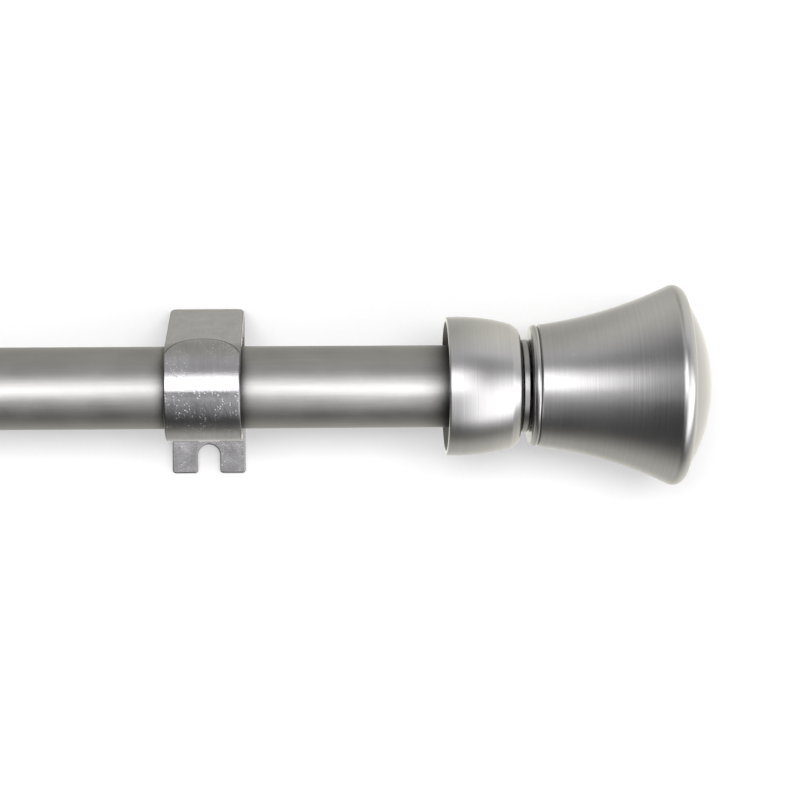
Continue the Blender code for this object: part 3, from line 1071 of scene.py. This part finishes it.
    def tongue_blank(self, length: float) -> Profile:
        """The cradle strap cut flat: a square foot, and a tongue that ends in one shallow arc.

        Args:
            length: The strap's length.

        Returns:
            The outline's points, across and along the strap.
        """
        half = self.width / 2
        shoulder = length - self.tongue_rise
        radius = self.tip_radius()
        reach = math.asin(half / radius)
        first, last = math.pi / 2 - reach, math.pi / 2 + reach
        tip = arc_about((0, length - radius), radius, first, last, self.tip_steps)
        foot = [(-half, 0, self.tine_corner), (half, 0, self.tine_corner), (0, shoulder, 0)]
        return outline(foot)[:-1] + tip

    def tip_radius(self) -> float:
        """The radius of the arc that the tongue ends in."""
        return ((self.width / 2) ** 2 + self.tongue_rise**2) / (2 * self.tongue_rise)

    def bend(
        self,
        blank: Profile,
        path: StrapPath,
        thickness: float,
        edge: float,
        calm: float = 0.0,
        tip_radius: float = 0.0,
    ) -> bmesh.types.BMesh:
        """Raises a flat blank to its thickness, eases its edges and bends it along a path.

        Args:
            blank: The outline's points, across and along the strap.
            path: The strap's middle line.
            thickness: The sheet's thickness.
            edge: The size of the eased edge.
            calm: How free of pits its finish is, from 0 to 1.
            tip_radius: The radius of the arc that its last end is cut to, or 0 for a straight end. It marks
                a band along that arc for a painted dark rim of shade.

        Returns:
            The strap's mesh, in its place.
        """
        bm = bmesh.new()
        face = bm.faces.new([bm.verts.new((point.x, point.y, -thickness / 2)) for point in blank])
        raised = bmesh.ops.extrude_face_region(bm, geom=[face])
        upper = [item for item in raised["geom"] if isinstance(item, bmesh.types.BMVert)]
        bmesh.ops.translate(bm, verts=upper, vec=(0, 0, thickness))
        rims = [e for e in bm.edges if abs(e.verts[0].co.z - e.verts[1].co.z) < thickness / 4]
        bmesh.ops.bevel(
            bm,
            geom=rims,
            offset=edge,
            segments=self.edge_steps,
            profile=0.5,
            affect="EDGES",
            material=-1,
        )
        # Marks the eased edges for painted shade, which the finish darkens.
        shade_marks = bm.verts.layers.float.new(SHADE_MARK_LAYER)
        pitless = bm.verts.layers.float.new(CALM_LAYER)
        for vert in bm.verts:
            vert[shade_marks] = 1.0 if abs(vert.co.z) < thickness / 2 - edge / 8 else 0.0
            vert[pitless] = calm
        for along in path.stations(self.bend_step):
            bmesh.ops.bisect_plane(
                bm,
                geom=bm.verts[:] + bm.edges[:] + bm.faces[:],
                dist=CLOSE,
                plane_co=(0, along, 0),
                plane_no=(0, 1, 0),
            )
        # Marks a band along the tongue's tip for a painted dark rim of shade.
        if tip_radius:
            tip = bm.verts.layers.float_vector.new(TIP_LAYER)
            for vert in bm.verts:
                past_centre = max(0.0, vert.co.y - path.length + tip_radius)
                vert[tip] = Vector((vert.co.x, past_centre, 0)) / tip_radius
        for vert in bm.verts:
            vert.co = (vert.co.x + self.x, *path.at(vert.co.y, vert.co.z))
        return bm

    def cutters(self) -> list[bpy.types.Object]:
        """Makes the cutters of the two rivet holes.

        Returns:
            The cutters' objects.
        """
        made = []
        for number in (1, 2):
            at = middle(f"{self.side.word}_bracket_rivet_{number}")
            bm = bmesh.new()
            radius = self.rivet_shank + self.clearance
            bmesh.ops.create_cone(
                bm,
                cap_ends=True,
                segments=self.hole_steps,
                radius1=radius,
                radius2=radius,
                depth=abs(self.axis.y),
                matrix=Matrix.Translation((at.x, 0, at.z)) @ Matrix.Rotation(math.pi / 2, 4, "X"),
            )
            bmesh.ops.recalc_face_normals(bm, faces=bm.faces)
            made.append(object_from(bm, f"rivet_hole_{number}"))
        return made

    def liner(self) -> bmesh.types.BMesh:
        """Bends the liner round the tube, inside the cradle strap.

        Returns:
            The liner's mesh, in its place.
        """
        tube = "outer_tube" if self.side is Side.RIGHT else "inner_tube"
        low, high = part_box(tube)
        inner = (high.z - low.z) / 2 + self.clearance
        thickness = self.cradle_radius - self.thickness / 2 - self.clearance - inner
        radius = inner + thickness / 2
        first = math.radians(180 - self.hook_end_angle) + 3 * self.clearance / radius
        start = (self.axis.y + radius * math.cos(first), self.axis.z + radius * math.sin(first))
        path = StrapPath(start, first + math.pi / 2).arc(radius, math.radians(self.liner_angle))
        low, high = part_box(self.liner_name)
        half = (high.x - low.x) / 2
        places = ((-half, 0), (half, 0), (half, path.length), (-half, path.length))
        blank = outline([(*place, self.liner_corner) for place in places])
        return self.bend(blank, path, thickness, self.liner_edge)

    def rivet(self, number: int) -> bmesh.types.BMesh:
        """Turns a rivet with a low domed head and a set tail.

        Args:
            number: The rivet's number, 1 or 2.

        Returns:
            The rivet's mesh, in its place.
        """
        low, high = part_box(f"{self.side.word}_bracket_rivet_{number}")
        at = (low + high) / 2
        head_radius = (high.z - low.z) / 2
        crown = high.y - low.y
        head = crown - self.rivet_head
        rise = self.rivet_head - self.rivet_brim
        ease = self.rivet_head_ease
        dome_radius = (head_radius**2 + rise**2) / (2 * rise)
        shank = [(0, 0, 0), (0, self.rivet_shank, self.rivet_tail_round), (head, self.rivet_shank, 0)]
        profile = outline(shank, self.tail_steps)
        profile += [Vector((head, head_radius - ease)), Vector((head + ease, head_radius))]
        profile += dome_to_axis(crown, dome_radius, head_radius, self.head_steps)
        bm = revolve(profile, SMALL_TURN_STEPS)
        bmesh.ops.rotate(bm, verts=bm.verts, matrix=Matrix.Rotation(-math.pi / 2, 3, "Z"))
        bmesh.ops.translate(bm, verts=bm.verts, vec=(at.x, high.y, at.z))
        return bm

    def build(self) -> None:
        """Makes every piece of the bracket."""
        hook = self.hook_path()
        cradle = self.cradle_path()
        blank = self.fork_blank(hook)
        bm = self.bend(blank, hook, self.thickness, self.edge, self.hook_calm)
        self.bench.add(bm, self.hook_name, Slot.STRAP, self.sharp_angle, self.cutters())
        blank = self.tongue_blank(cradle.length)
        bm = self.bend(blank, cradle, self.thickness, self.tongue_edge, 0.0, self.tip_radius())
        self.bench.add(bm, self.cradle_name, Slot.STRAP, self.sharp_angle, self.cutters())
        self.bench.add(self.liner(), self.liner_name, Slot.NYLON, self.sharp_angle)
        for number in (1, 2):
            self.bench.add(self.rivet(number), f"{self.side.word}_bracket_rivet_{number}", Slot.ZINC)


# ---------------------------------------------------------------- rod


@dataclass
class Rod:
    """The two telescoping tubes, each rolled from strip, and the guide on the inner one's hidden end."""

    bench: Workbench
    wall: float = 0.6 * MM
    lip: float = 0.22 * MM
    seam_depth: float = 0.16 * MM
    seam_angle: float = 35.0
    seam_edge_share: float = 0.25
    seam_bottom_facets: float = 0.5
    seam_reach_facets: float = 1.5
    guide_clearance: float = 0.3 * MM
    guide_wall: float = 1.5 * MM
    guide_lead_in: float = 0.6 * MM
    guide_corner: float = 0.15 * MM
    guide_ease: float = 0.3 * MM
    guide_rim: tuple[float, float] = (0.5 * MM, 0.4 * MM)
    tube_steps: int = 192
    lip_steps: int = 4
    guide_steps: int = 96
    guide_corner_steps: int = 5
    sharp_angle: float = 30.0

    def tube(self, node: str) -> bmesh.types.BMesh:
        """Turns a tube with eased ends, and sinks its rolled seam along the back.

        Args:
            node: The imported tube.

        Returns:
            The tube's mesh, in its place.
        """
        low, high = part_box(node)
        radius = (high.z - low.z) / 2
        bore = radius - self.wall
        ring = [(low.x, bore, self.lip), (low.x, radius, self.lip)]
        ring += [(high.x, radius, self.lip), (high.x, bore, self.lip)]
        bm = revolve(outline(ring, self.lip_steps), self.tube_steps)
        facet = 2 * math.pi / self.tube_steps
        seam = math.radians(self.seam_angle)
        middle_radius = radius - self.wall / 2
        for vert in bm.verts:
            from_axis = math.hypot(vert.co.y, vert.co.z)
            away = abs(math.atan2(vert.co.z, vert.co.y) - seam) / facet
            if away < self.seam_reach_facets and from_axis > middle_radius:
                share = 1.0 if away < self.seam_bottom_facets else self.seam_edge_share
                pull = 1 - self.seam_depth * share / from_axis
                vert.co.y *= pull
                vert.co.z *= pull
        place_on_rod(bm, 0, middle("outer_tube"), Side.RIGHT)
        return bm

    def guide(self) -> bmesh.types.BMesh:
        """Turns the nylon guide, with a plain insert and a rounded flange.

        Returns:
            The guide's mesh, in its place.
        """
        low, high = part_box("inner_tube_guide")
        tube_low, tube_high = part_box("inner_tube")
        flange = (high.z - low.z) / 2
        body = (tube_high.z - tube_low.z) / 2 - self.wall - self.guide_clearance
        bore = body - self.guide_wall
        step = tube_high.x + self.guide_clearance
        rim_outside, rim_inside = self.guide_rim
        corners = [(low.x, bore, self.guide_ease), (low.x, body, self.guide_lead_in)]
        corners += [(step, body, self.guide_corner), (step, flange, self.guide_ease)]
        corners += [(high.x, flange, rim_outside), (high.x, bore, rim_inside)]
        bm = revolve(outline(corners, self.guide_corner_steps), self.guide_steps)
        place_on_rod(bm, 0, middle("outer_tube"), Side.RIGHT)
        return bm

    def build(self) -> None:
        """Makes the tubes and the guide."""
        for node in ("outer_tube", "inner_tube"):
            self.bench.add(self.tube(node), node, Slot.TUBE, self.sharp_angle)
        self.bench.add(self.guide(), "inner_tube_guide", Slot.NYLON)


# ---------------------------------------------------------------- finials


@dataclass
class Finial:
    """A finial, from the cup round the tube's end to the domed cap, and what fixes it to the tube.

    Every profile runs along the rod from the cup's mouth, which is its 0.
    """

    side: Side
    bench: Workbench
    clearance: float = 0.3 * MM
    cup_bore: float = 14.5 * MM
    cup_mouth_bore: float = 16.2 * MM
    cup_mouth_taper: float = 5.0 * MM
    cup_lip: tuple[float, float] = (0.3 * MM, 0.5 * MM)
    cup_side_start: float = 1.0 * MM
    cup_floor: float = 3.5 * MM
    cup_shoulder_back: float = 2.3 * MM
    cup_crown: float = 14.2 * MM
    cup_crown_round: float = 1.6 * MM
    neck_step: float = 0.1 * MM
    ease: float = 0.15 * MM
    cup_shoulder: float = 15.6 * MM
    cup_side_radius: float = 48.0 * MM
    neck_radius: float = 11.7 * MM
    neck_round: float = 0.4 * MM
    bead_radius: float = 15.4 * MM
    bead_width: float = 2.1 * MM
    bead_start: float = 0.2 * MM
    bead_step: float = 0.1 * MM
    bead_round: tuple[float, float] = (1.2 * MM, 0.5 * MM)
    groove_depth: float = 0.55 * MM
    groove_half_width: float = 0.35 * MM
    flare_radius: float = 105.0 * MM
    rim_lean: float = 25.0
    rim_round: float = 2.7 * MM
    wall: float = 1.6 * MM
    dome_radius: float = 39.5 * MM
    cap_radius: float = 22.3 * MM
    cap_spigot: float = 4.5 * MM
    cap_face_back: float = 0.4 * MM
    boss_radius: float = 6.5 * MM
    boss_length: float = 9.0 * MM
    trumpet_floor: float = 3.0 * MM
    stud_radius: float = 3.0 * MM
    thread_pitch: float = 1.0 * MM
    thread_depth: float = 0.55 * MM
    tube_wall: float = 0.6 * MM
    plug_flange: float = 1.6 * MM
    plug_lead_in: float = 1.0 * MM
    plug_round: float = 0.4 * MM
    corner_steps: int = 8
    plain_steps: int = 4
    plug_steps: int = 5
    side_steps: int = 28
    flare_steps: int = 40
    rim_steps: int = 30
    dome_steps: int = 36
    thread_steps: int = 36
    thread_sharp_angle: float = 25.0

    def __post_init__(self) -> None:
        """Reads the finial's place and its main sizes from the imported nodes."""
        self.axis = middle("outer_tube")
        low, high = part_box(self.node("finial_cup"))
        self.mouth_x = low.x if self.side is Side.RIGHT else high.x
        self.mouth_radius = (high.z - low.z) / 2
        self.cup_length = high.x - low.x
        self.bore_radius = self.stud_radius + self.clearance

    def node(self, name: str) -> str:
        """The name of one of this end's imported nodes."""
        return f"{self.side.word}_{name}"

    def span(self, name: str) -> tuple[float, float]:
        """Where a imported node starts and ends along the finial.

        Args:
            name: The node's name, without its side.

        Returns:
            Its near and far ends, from the cup's mouth.
        """
        low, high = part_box(self.node(name))
        ends = sorted((end - self.mouth_x) * self.side.value for end in (low.x, high.x))
        return ends[0], ends[1]

    def radius(self, name: str) -> float:
        """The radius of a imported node."""
        low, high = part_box(self.node(name))
        return (high.z - low.z) / 2

    def cup(self) -> Profile:
        """Draws the cup: a wide bore round the tube, a convex side, and a floor that the stud goes through.

        Returns:
            The profile.
        """
        length = self.cup_length
        start = Vector((self.cup_side_start, self.mouth_radius))
        shoulder = Vector((length - self.cup_shoulder_back, self.cup_shoulder))
        lip_inside, lip_outside = self.cup_lip
        mouth = [(self.cup_mouth_taper, self.cup_bore, 0), (0, self.cup_mouth_bore, lip_inside)]
        mouth += [(0, self.mouth_radius, lip_outside), (shoulder.x, self.mouth_radius, 0)]
        side = arc_between(shoulder, start, self.cup_side_radius, self.side_steps)[::-1]
        floor = length - self.cup_floor
        back = length - self.neck_step
        crown = [(shoulder.x, shoulder.y, 0), (back, self.cup_crown, self.cup_crown_round)]
        crown += [(back, self.neck_radius, 0), (length, self.neck_radius, 0)]
        crown += [(length, self.bore_radius, self.ease), (floor, self.bore_radius, self.ease)]
        crown += [(floor, self.cup_bore, self.cup_crown_round), (0, self.cup_bore, 0)]
        lip = outline(mouth, self.corner_steps)[:-1]
        return lip + side + [shoulder] + outline(crown, self.corner_steps)[1:-1]

    def bare_bore(self, bm: bmesh.types.BMesh) -> None:
        """Marks the cup's bore for painted shade, which darkens the inside of the cup.

        Args:
            bm: The cup's mesh, round the X axis.
        """
        shade_marks = bm.verts.layers.float.new(SHADE_MARK_LAYER)
        floor = self.cup_length - self.cup_floor + self.ease / 2
        for vert in bm.verts:
            taper = max(0.0, 1 - vert.co.x / self.cup_mouth_taper)
            wall = self.cup_bore + (self.cup_mouth_bore - self.cup_bore) * taper + self.ease
            inside = math.hypot(vert.co.y, vert.co.z) < wall and vert.co.x < floor
            vert[shade_marks] = 1.0 if inside else 0.0

    def neck_ring(self) -> Profile:
        """Draws the ring between the cup and the trumpet, with rounded edges.

        Returns:
            The profile.
        """
        near, far = self.span("finial_neck_ring")
        outer = self.radius("finial_neck_ring")
        corners = [(near, self.bore_radius, self.ease), (near, outer, self.neck_round)]
        corners += [(far, outer, self.neck_round), (far, self.bore_radius, self.ease)]
        return outline(corners, self.corner_steps)

    def trumpet(self) -> Profile:
        """Draws the trumpet: a bead, a fine groove, the flare, a rolled rim, and a hollow with a boss.

        Returns:
            The profile.
        """
        small, _far = self.span("finial_trumpet")
        rim_radius = self.radius("finial_trumpet")
        groove = small + self.bead_width
        flare_start = Vector((groove + self.groove_half_width, self.bead_radius))
        mouth = self.cap_radius + self.clearance
        centre = Vector((self.rim_at(), rim_radius - self.rim_round))
        first = math.radians(90 + self.rim_lean)
        last = math.asin((mouth - centre.y) / self.rim_round)
        rim = arc_about(centre, self.rim_round, first, last, self.rim_steps)
        flare = arc_between(flare_start, rim[0], self.flare_radius, self.flare_steps)
        floor = small + self.trumpet_floor
        bead = self.bead_radius - self.bead_step
        near_round, far_round = self.bead_round
        start = [(small, self.bore_radius, 0), (small, self.neck_radius, 0)]
        start += [(small + self.bead_start, bead, near_round)]
        start += [(groove - self.groove_half_width, bead, far_round)]
        start += [(groove, self.bead_radius - self.groove_depth, 0), (flare_start.x, flare_start.y, 0)]
        inside = [Vector((point.x, point.y - self.wall)) for point in reversed(flare)]
        boss = floor + self.boss_length
        rolled = Vector((rim[0].x, rim[0].y - self.wall))
        points = outline(start, self.corner_steps) + flare + rim
        points += [Vector((rolled.x, mouth)), rolled] + inside
        hub = ((floor, self.bead_radius - self.wall), (floor, self.boss_radius))
        hub += ((boss, self.boss_radius), (boss, self.bore_radius))
        return points + [Vector(corner) for corner in hub]

    def rim_at(self) -> float:
        """Where the trumpet is widest, which its rolled rim and the cap are measured from."""
        _near, far = self.span("finial_trumpet")
        return far - self.rim_round

    def cap(self) -> Profile:
        """Draws the end cap: a shallow dome with a spigot that goes into the trumpet's mouth.

        Returns:
            The profile.
        """
        near, far = self.span("finial_end_cap")
        dome = dome_to_axis(far, self.dome_radius, self.cap_radius, self.dome_steps)
        inner = self.cap_radius - self.wall
        back = near + self.cap_spigot - self.cap_face_back
        hollow = [Vector((back, 0)), Vector((back, inner)), Vector((near, inner))]
        return hollow + [Vector((near, self.cap_radius))] + dome

    def stud(self) -> bmesh.types.BMesh:
        """Turns the threaded stud: one pitch of thread swept round and along, cut off and closed.

        Returns:
            The stud's mesh, round the X axis.
        """
        near, far = self.span("finial_stud")
        root = self.stud_radius - self.thread_depth
        pitch = self.thread_pitch
        flat = pitch / 8
        steps = self.thread_steps
        turns = math.ceil((far - near) / pitch) + 2
        shape = [(0.0, root), (flat, root), (pitch / 2 - flat / 2, self.stud_radius)]
        shape += [(pitch / 2 + flat / 2, self.stud_radius), (pitch - flat, root), (pitch, root)]
        bm = bmesh.new()
        corners = [bm.verts.new((near - pitch + along, 0, away)) for along, away in shape]
        edges = [bm.edges.new(pair) for pair in zip(corners, corners[1:])]
        bmesh.ops.spin(
            bm,
            geom=corners + edges,
            cent=(0, 0, 0),
            axis=(1, 0, 0),
            dvec=(pitch / steps, 0, 0),
            angle=2 * math.pi * turns,
            steps=steps * turns,
        )
        bmesh.ops.remove_doubles(bm, verts=bm.verts, dist=THREAD_CLOSE)
        for end, outwards in ((near, -1), (far, 1)):
            bmesh.ops.bisect_plane(
                bm,
                geom=bm.verts[:] + bm.edges[:] + bm.faces[:],
                dist=CLOSE,
                plane_co=(end, 0, 0),
                plane_no=(outwards, 0, 0),
                clear_outer=True,
            )
            open_edges = [edge for edge in bm.edges if edge.is_boundary]
            rim = [e for e in open_edges if all(abs(v.co.x - end) < THREAD_CLOSE for v in e.verts)]
            bmesh.ops.edgeloop_fill(bm, edges=rim)
        return bm

    def washer(self) -> Profile:
        """Draws the pressed washer under the cup's floor, with eased edges.

        Returns:
            The profile.
        """
        near, far = self.span("finial_washer")
        outer = self.radius("finial_washer")
        places = ((near, self.bore_radius), (near, outer), (far, outer), (far, self.bore_radius))
        return outline([(*place, self.ease) for place in places], self.plain_steps)

    def plug(self) -> Profile:
        """Draws the nylon plug in the tube's end, with a lead-in and a flange.

        Returns:
            The profile.
        """
        near, far = self.span("tube_plug")
        outer = self.radius("tube_plug")
        body = outer - self.tube_wall - self.clearance
        step = far - self.plug_flange
        corners = [(near, self.bore_radius, self.ease), (near, body, self.plug_lead_in)]
        corners += [(step, body, 0), (step, outer, self.ease)]
        corners += [(far, outer, self.plug_round), (far, self.bore_radius, self.ease)]
        return outline(corners, self.plug_steps)

    def build(self) -> None:
        """Makes every piece of the finial."""
        profiles = (
            ("finial_cup", self.cup, Slot.FINIAL),
            ("finial_neck_ring", self.neck_ring, Slot.FINIAL),
            ("finial_trumpet", self.trumpet, Slot.FINIAL),
            ("finial_end_cap", self.cap, Slot.FINIAL),
            ("finial_washer", self.washer, Slot.ZINC),
            ("tube_plug", self.plug, Slot.NYLON),
        )
        for name, draw, slot in profiles:
            bm = revolve(draw())
            if name == "finial_cup":
                self.bare_bore(bm)
            place_on_rod(bm, self.mouth_x, self.axis, self.side)
            self.bench.add(bm, self.node(name), slot)
        bm = self.stud()
        place_on_rod(bm, self.mouth_x, self.axis, self.side)
        self.bench.add(bm, self.node("finial_stud"), Slot.ZINC, self.thread_sharp_angle)


# ---------------------------------------------------------------- studio

# Brightness of the studio by the angle above the room's horizon, seen from the rod and turning about it,
# from a direction that leans along the rod by the first number of each row.
STUDIO_ROWS: tuple[tuple[float, tuple[tuple[float, float], ...]], ...] = (
    (
        -0.60,
        (
            (-180, 1.1), (-165, 0.80), (-150, 0.60), (-131, 0.52), (-110, 0.33), (-93, 0.16),
            (-79, 0.06), (-60, 0.04), (-40, 0.045), (-21, 0.08), (-10, 0.15), (0, 0.30), (13, 0.47),
            (25, 0.33), (35, 0.20), (50, 0.17), (66, 0.26), (79, 0.36), (110, 0.50), (150, 0.62),
            (168, 0.8), (180, 1.1),
        ),
    ),
    (
        -0.30,
        (
            (-180, 1.3), (-165, 0.75), (-127, 0.60), (-107, 0.42), (-91, 0.22), (-79.5, 0.09),
            (-67.5, 0.08), (-55.5, 0.11), (-44.5, 0.17), (-33.5, 0.28), (-25.5, 0.43),
            (-15.5, 0.76), (-6.5, 1.50), (3.5, 1.9), (13.5, 1.8), (23.5, 0.90), (31.5, 0.42),
            (38.5, 0.34), (47.5, 0.42), (57.5, 0.58), (90, 0.65), (150, 0.65), (168, 0.9),
            (180, 1.3),
        ),
    ),
    (
        -0.05,
        (
            (-180, 1.3), (-165, 0.8), (-136, 0.50), (-117, 0.46), (-91, 0.14), (-74, 0.07),
            (-60, 0.085), (-40, 0.24), (-25, 0.38), (-15, 0.62), (-9, 1.0), (-2, 2.6), (22, 2.6),
            (28, 1.5), (36, 0.6), (45, 0.5), (60, 0.5), (85, 0.41), (110, 0.375), (150, 0.55),
            (168, 0.9), (180, 1.3),
        ),
    ),
    (
        0.30,
        (
            (-180, 1.3), (-160, 0.85), (-139, 0.80), (-116, 0.60), (-100, 0.38), (-90, 0.18),
            (-77, 0.26), (-67, 0.60), (-58, 1.5), (-50, 1.85), (-12, 1.75), (-3, 1.40), (7, 0.95),
            (17, 0.50), (28, 0.26), (38, 0.25), (49, 0.42), (61, 0.75), (90, 0.80), (139, 0.76),
            (165, 0.9), (180, 1.3),
        ),
    ),
    (
        0.80,
        (
            (-180, 0.85), (-139, 0.85), (-100, 0.50), (-76, 0.45), (-62, 0.9), (-52, 2.0), (0, 2.0),
            (14, 1.7), (26, 0.9), (40, 0.55), (66, 0.7), (120, 0.85), (180, 0.85),
        ),
    ),
)


@dataclass
class Studio:
    """A pale floor and wall, soft light all round, two lamps, a grey card and the camera."""

    camera_place: tuple[float, float, float] = (0.0257, -0.5686, 0.0228)
    camera_yaw: float = -2.46
    camera_pitch: float = -2.76
    camera_roll: float = -0.25
    lens: float = 97.5
    sensor: float = 36.0
    nearest: float = 0.01
    brightest: float = 3.0
    floor_drop: float = 0.16
    stage_size: float = 12.0
    wall_glow: float = 0.26
    floor_glow: float = 0.55
    wall_gap: float = 0.3 * MM
    paper_dark: tuple[float, float, float] = (0.495, 0.494, 0.492)
    paper_light: tuple[float, float, float] = (0.505, 0.504, 0.502)
    paper_tooth: float = 900.0
    shade_power: float = 12.2
    shade_size: tuple[float, float] = (1.0, 0.36)
    shade_place: tuple[float, float, float] = (0.05, -1.1, 0.21)
    strip_power: float = 10.0
    strip_size: tuple[float, float] = (2.2, 0.46)
    strip_place: tuple[float, float, float] = (-0.25, -1.1, -0.15)
    strip_color: tuple[float, float, float] = (0.955, 0.965, 1.0)
    card_level: float = 0.42
    card_place: tuple[float, float, float] = (-0.014, -0.25, -0.046)
    card_half_size: tuple[float, float] = (0.038, 0.028)
    warm_past: float = 80.0
    warmth: tuple[float, float, float] = (1.0, 0.985, 0.915)
    coolness: tuple[float, float, float] = (0.975, 0.97, 1.0)

    def world(self) -> None:
        """Draws the soft light all round, by direction."""
        world = bpy.data.worlds.new("soft_studio")
        world.use_nodes = True
        bpy.context.scene.world = world
        sheet = NodeSheet(world.node_tree)
        way = sheet.add("SeparateXYZ", Vector=sheet.add("TexCoord").outputs["Generated"])
        ahead = sheet.math("MULTIPLY", way.outputs["Y"], -1.0)
        angle = sheet.math("ARCTAN2", way.outputs["Z"], ahead)
        share = sheet.spread(angle, 0.0, 1.0, -math.pi, math.pi)
        mixed: Any = None
        last_lean = 0.0
        for lean, row in STUDIO_ROWS:
            stops = []
            for degrees, level in row:
                tint = self.warmth if abs(degrees) > self.warm_past else self.coolness
                color = tuple(level / self.brightest * part for part in tint)
                stops.append(((degrees + 180) / 360, color))
            row_color = sheet.ramp(share, stops)
            if mixed is None:
                mixed = row_color
            else:
                share_of_row = sheet.spread(way.outputs["X"], 0.0, 1.0, last_lean, lean)
                mixed = sheet.blend(share_of_row, mixed, row_color)
            last_lean = lean
        studio = sheet.add("Background", Color=mixed, Strength=self.brightest)
        paper = sheet.add("Background", Color=(1, 1, 1, 1), Strength=1.0)
        seen = sheet.add("LightPath").outputs["Is Camera Ray"]
        both = sheet.add("MixShader", Fac=seen, in1=studio.outputs[0], in2=paper.outputs[0])
        sheet.add("OutputWorld", Surface=both.outputs[0])

    def pale_paper(self, name: str, strength: float) -> bpy.types.Material:
        """The paper of the floor or the wall, clear from behind so that the wall never hides the rod.

        Args:
            name: The material's name.
            strength: How much the paper glows by itself.

        Returns:
            The material.
        """
        material, sheet = blank_material(name)
        place = sheet.add("TexCoord").outputs["Object"]
        tooth = sheet.noise(place, self.paper_tooth, detail=3.0)
        color = sheet.ramp(tooth, ((0.3, self.paper_dark), (0.7, self.paper_light)))
        paper = sheet.add("BsdfDiffuse", Color=color)
        glow = sheet.add("Emission", Color=(1, 1, 1, 1), Strength=strength)
        lit = sheet.add("AddShader", in0=paper.outputs[0], in1=glow.outputs[0])
        clear = sheet.add("BsdfTransparent")
        behind = sheet.add("NewGeometry").outputs["Backfacing"]
        both = sheet.add("MixShader", Fac=behind, in1=lit.outputs[0], in2=clear.outputs[0])
        sheet.add("OutputMaterial", Surface=both.outputs[0])
        return material

    def surround(self) -> None:
        """Lays the floor, and stands the wall that the brackets would be screwed to."""
        middle_x = (CAD_BOX[0][0] + CAD_BOX[1][0]) / 2
        half = self.stage_size / 2
        upright = Matrix.Rotation(math.pi / 2, 4, "X")
        wall = Matrix.Translation((middle_x, self.wall_gap, half - self.floor_drop)) @ upright
        floor = Matrix.Translation((middle_x, 0, -self.floor_drop))
        papers = (("wall_paper", wall, self.wall_glow), ("floor_paper", floor, self.floor_glow))
        for name, matrix, glow in papers:
            bm = bmesh.new()
            bmesh.ops.create_grid(bm, x_segments=1, y_segments=1, size=half, matrix=matrix)
            made = object_from(bm, name)
            made.data.materials.append(self.pale_paper(name, glow))
            made.visible_glossy = False
            made.visible_diffuse = False
            made.visible_shadow = False

    def lamp(
        self, name: str, size: tuple[float, float], power: float, place: tuple[float, float, float]
    ) -> bpy.types.Object:
        """Hangs one soft rectangular lamp that faces the right bracket and isn't seen itself.

        Args:
            name: The lamp's name.
            size: Its width and its height.
            power: Its power in watts.
            place: Its place.

        Returns:
            The lamp.
        """
        light = bpy.data.lights.new(name, "AREA")
        light.shape = "RECTANGLE"
        light.size, light.size_y = size
        light.energy = power
        made = bpy.data.objects.new(name, light)
        bpy.context.scene.collection.objects.link(made)
        made.location = place
        made.rotation_euler = (-Vector(place)).to_track_quat("-Z", "Y").to_euler()
        made.visible_camera = False
        return made

    def lamps(self, tubes: Sequence[bpy.types.Object]) -> None:
        """Hangs the lamp that draws the shadow on the wall, and the strip that only the tubes take.

        Args:
            tubes: The two tubes.
        """
        shade = self.lamp("shade_lamp", self.shade_size, self.shade_power, self.shade_place)
        shade.visible_glossy = False
        strip = self.lamp("tube_strip", self.strip_size, self.strip_power, self.strip_place)
        strip.data.color = self.strip_color
        lit = bpy.data.collections.new("lit_by_tube_strip")
        for tube in tubes:
            lit.objects.link(tube)
        strip.light_linking.receiver_collection = lit

    def flag(self) -> None:
        """Hangs a grey card below the camera, which only the brackets' forks mirror."""
        material, sheet = blank_material("grey_card")
        glow = sheet.add("Emission", Color=(1, 1, 1, 1), Strength=self.card_level)
        sheet.add("OutputMaterial", Surface=glow.outputs[0])
        bm = bmesh.new()
        wide, tall = self.card_half_size
        place = Matrix.Translation(self.card_place) @ Matrix.Diagonal((wide, 1, tall, 1))
        place @= Matrix.Rotation(math.pi / 2, 4, "X")
        bmesh.ops.create_grid(bm, x_segments=1, y_segments=1, size=1, matrix=place)
        card = object_from(bm, "grey_card")
        card.data.materials.append(material)
        card.visible_camera = False
        card.visible_diffuse = False
        card.visible_shadow = False

    def camera(self) -> None:
        """Sets up the camera at the height of the rod, a little to the right of the right bracket."""
        data = bpy.data.cameras.new("camera")
        data.lens = self.lens
        data.sensor_width = self.sensor
        data.clip_start = self.nearest
        made = bpy.data.objects.new("camera", data)
        bpy.context.scene.collection.objects.link(made)
        turn = Matrix.Rotation(math.radians(self.camera_yaw), 4, "Z")
        turn = turn @ Matrix.Rotation(math.radians(90 + self.camera_pitch), 4, "X")
        turn = turn @ Matrix.Rotation(math.radians(self.camera_roll), 4, "Z")
        made.matrix_world = Matrix.Translation(self.camera_place) @ turn
        bpy.context.scene.camera = made

    def build(self, tubes: Sequence[bpy.types.Object]) -> None:
        """Sets up the whole studio.

        Args:
            tubes: The two tubes, which take one strip lamp of their own.
        """
        self.world()
        self.surround()
        self.flag()
        self.lamps(tubes)
        self.camera()
        bpy.context.scene.view_settings.view_transform = "Standard"
        LOG.info("studio: soft light, wall, floor, grey card, two lamps and the camera")


def main() -> None:
    """Builds the rod, its brackets and its finials, then the studio."""
    logging.basicConfig(level=logging.INFO, format="%(name)s %(message)s", force=True)
    bench = Workbench()
    Rod(bench).build()
    for side in Side:
        Bracket(side, bench).build()
    for side in Side:
        Finial(side, bench).build()
    Studio().build([piece for piece in bench.pieces if piece["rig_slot"] == Slot.TUBE.value])
    LOG.info("%d pieces", len(bench.pieces))


if __name__ == "__main__":
    main()
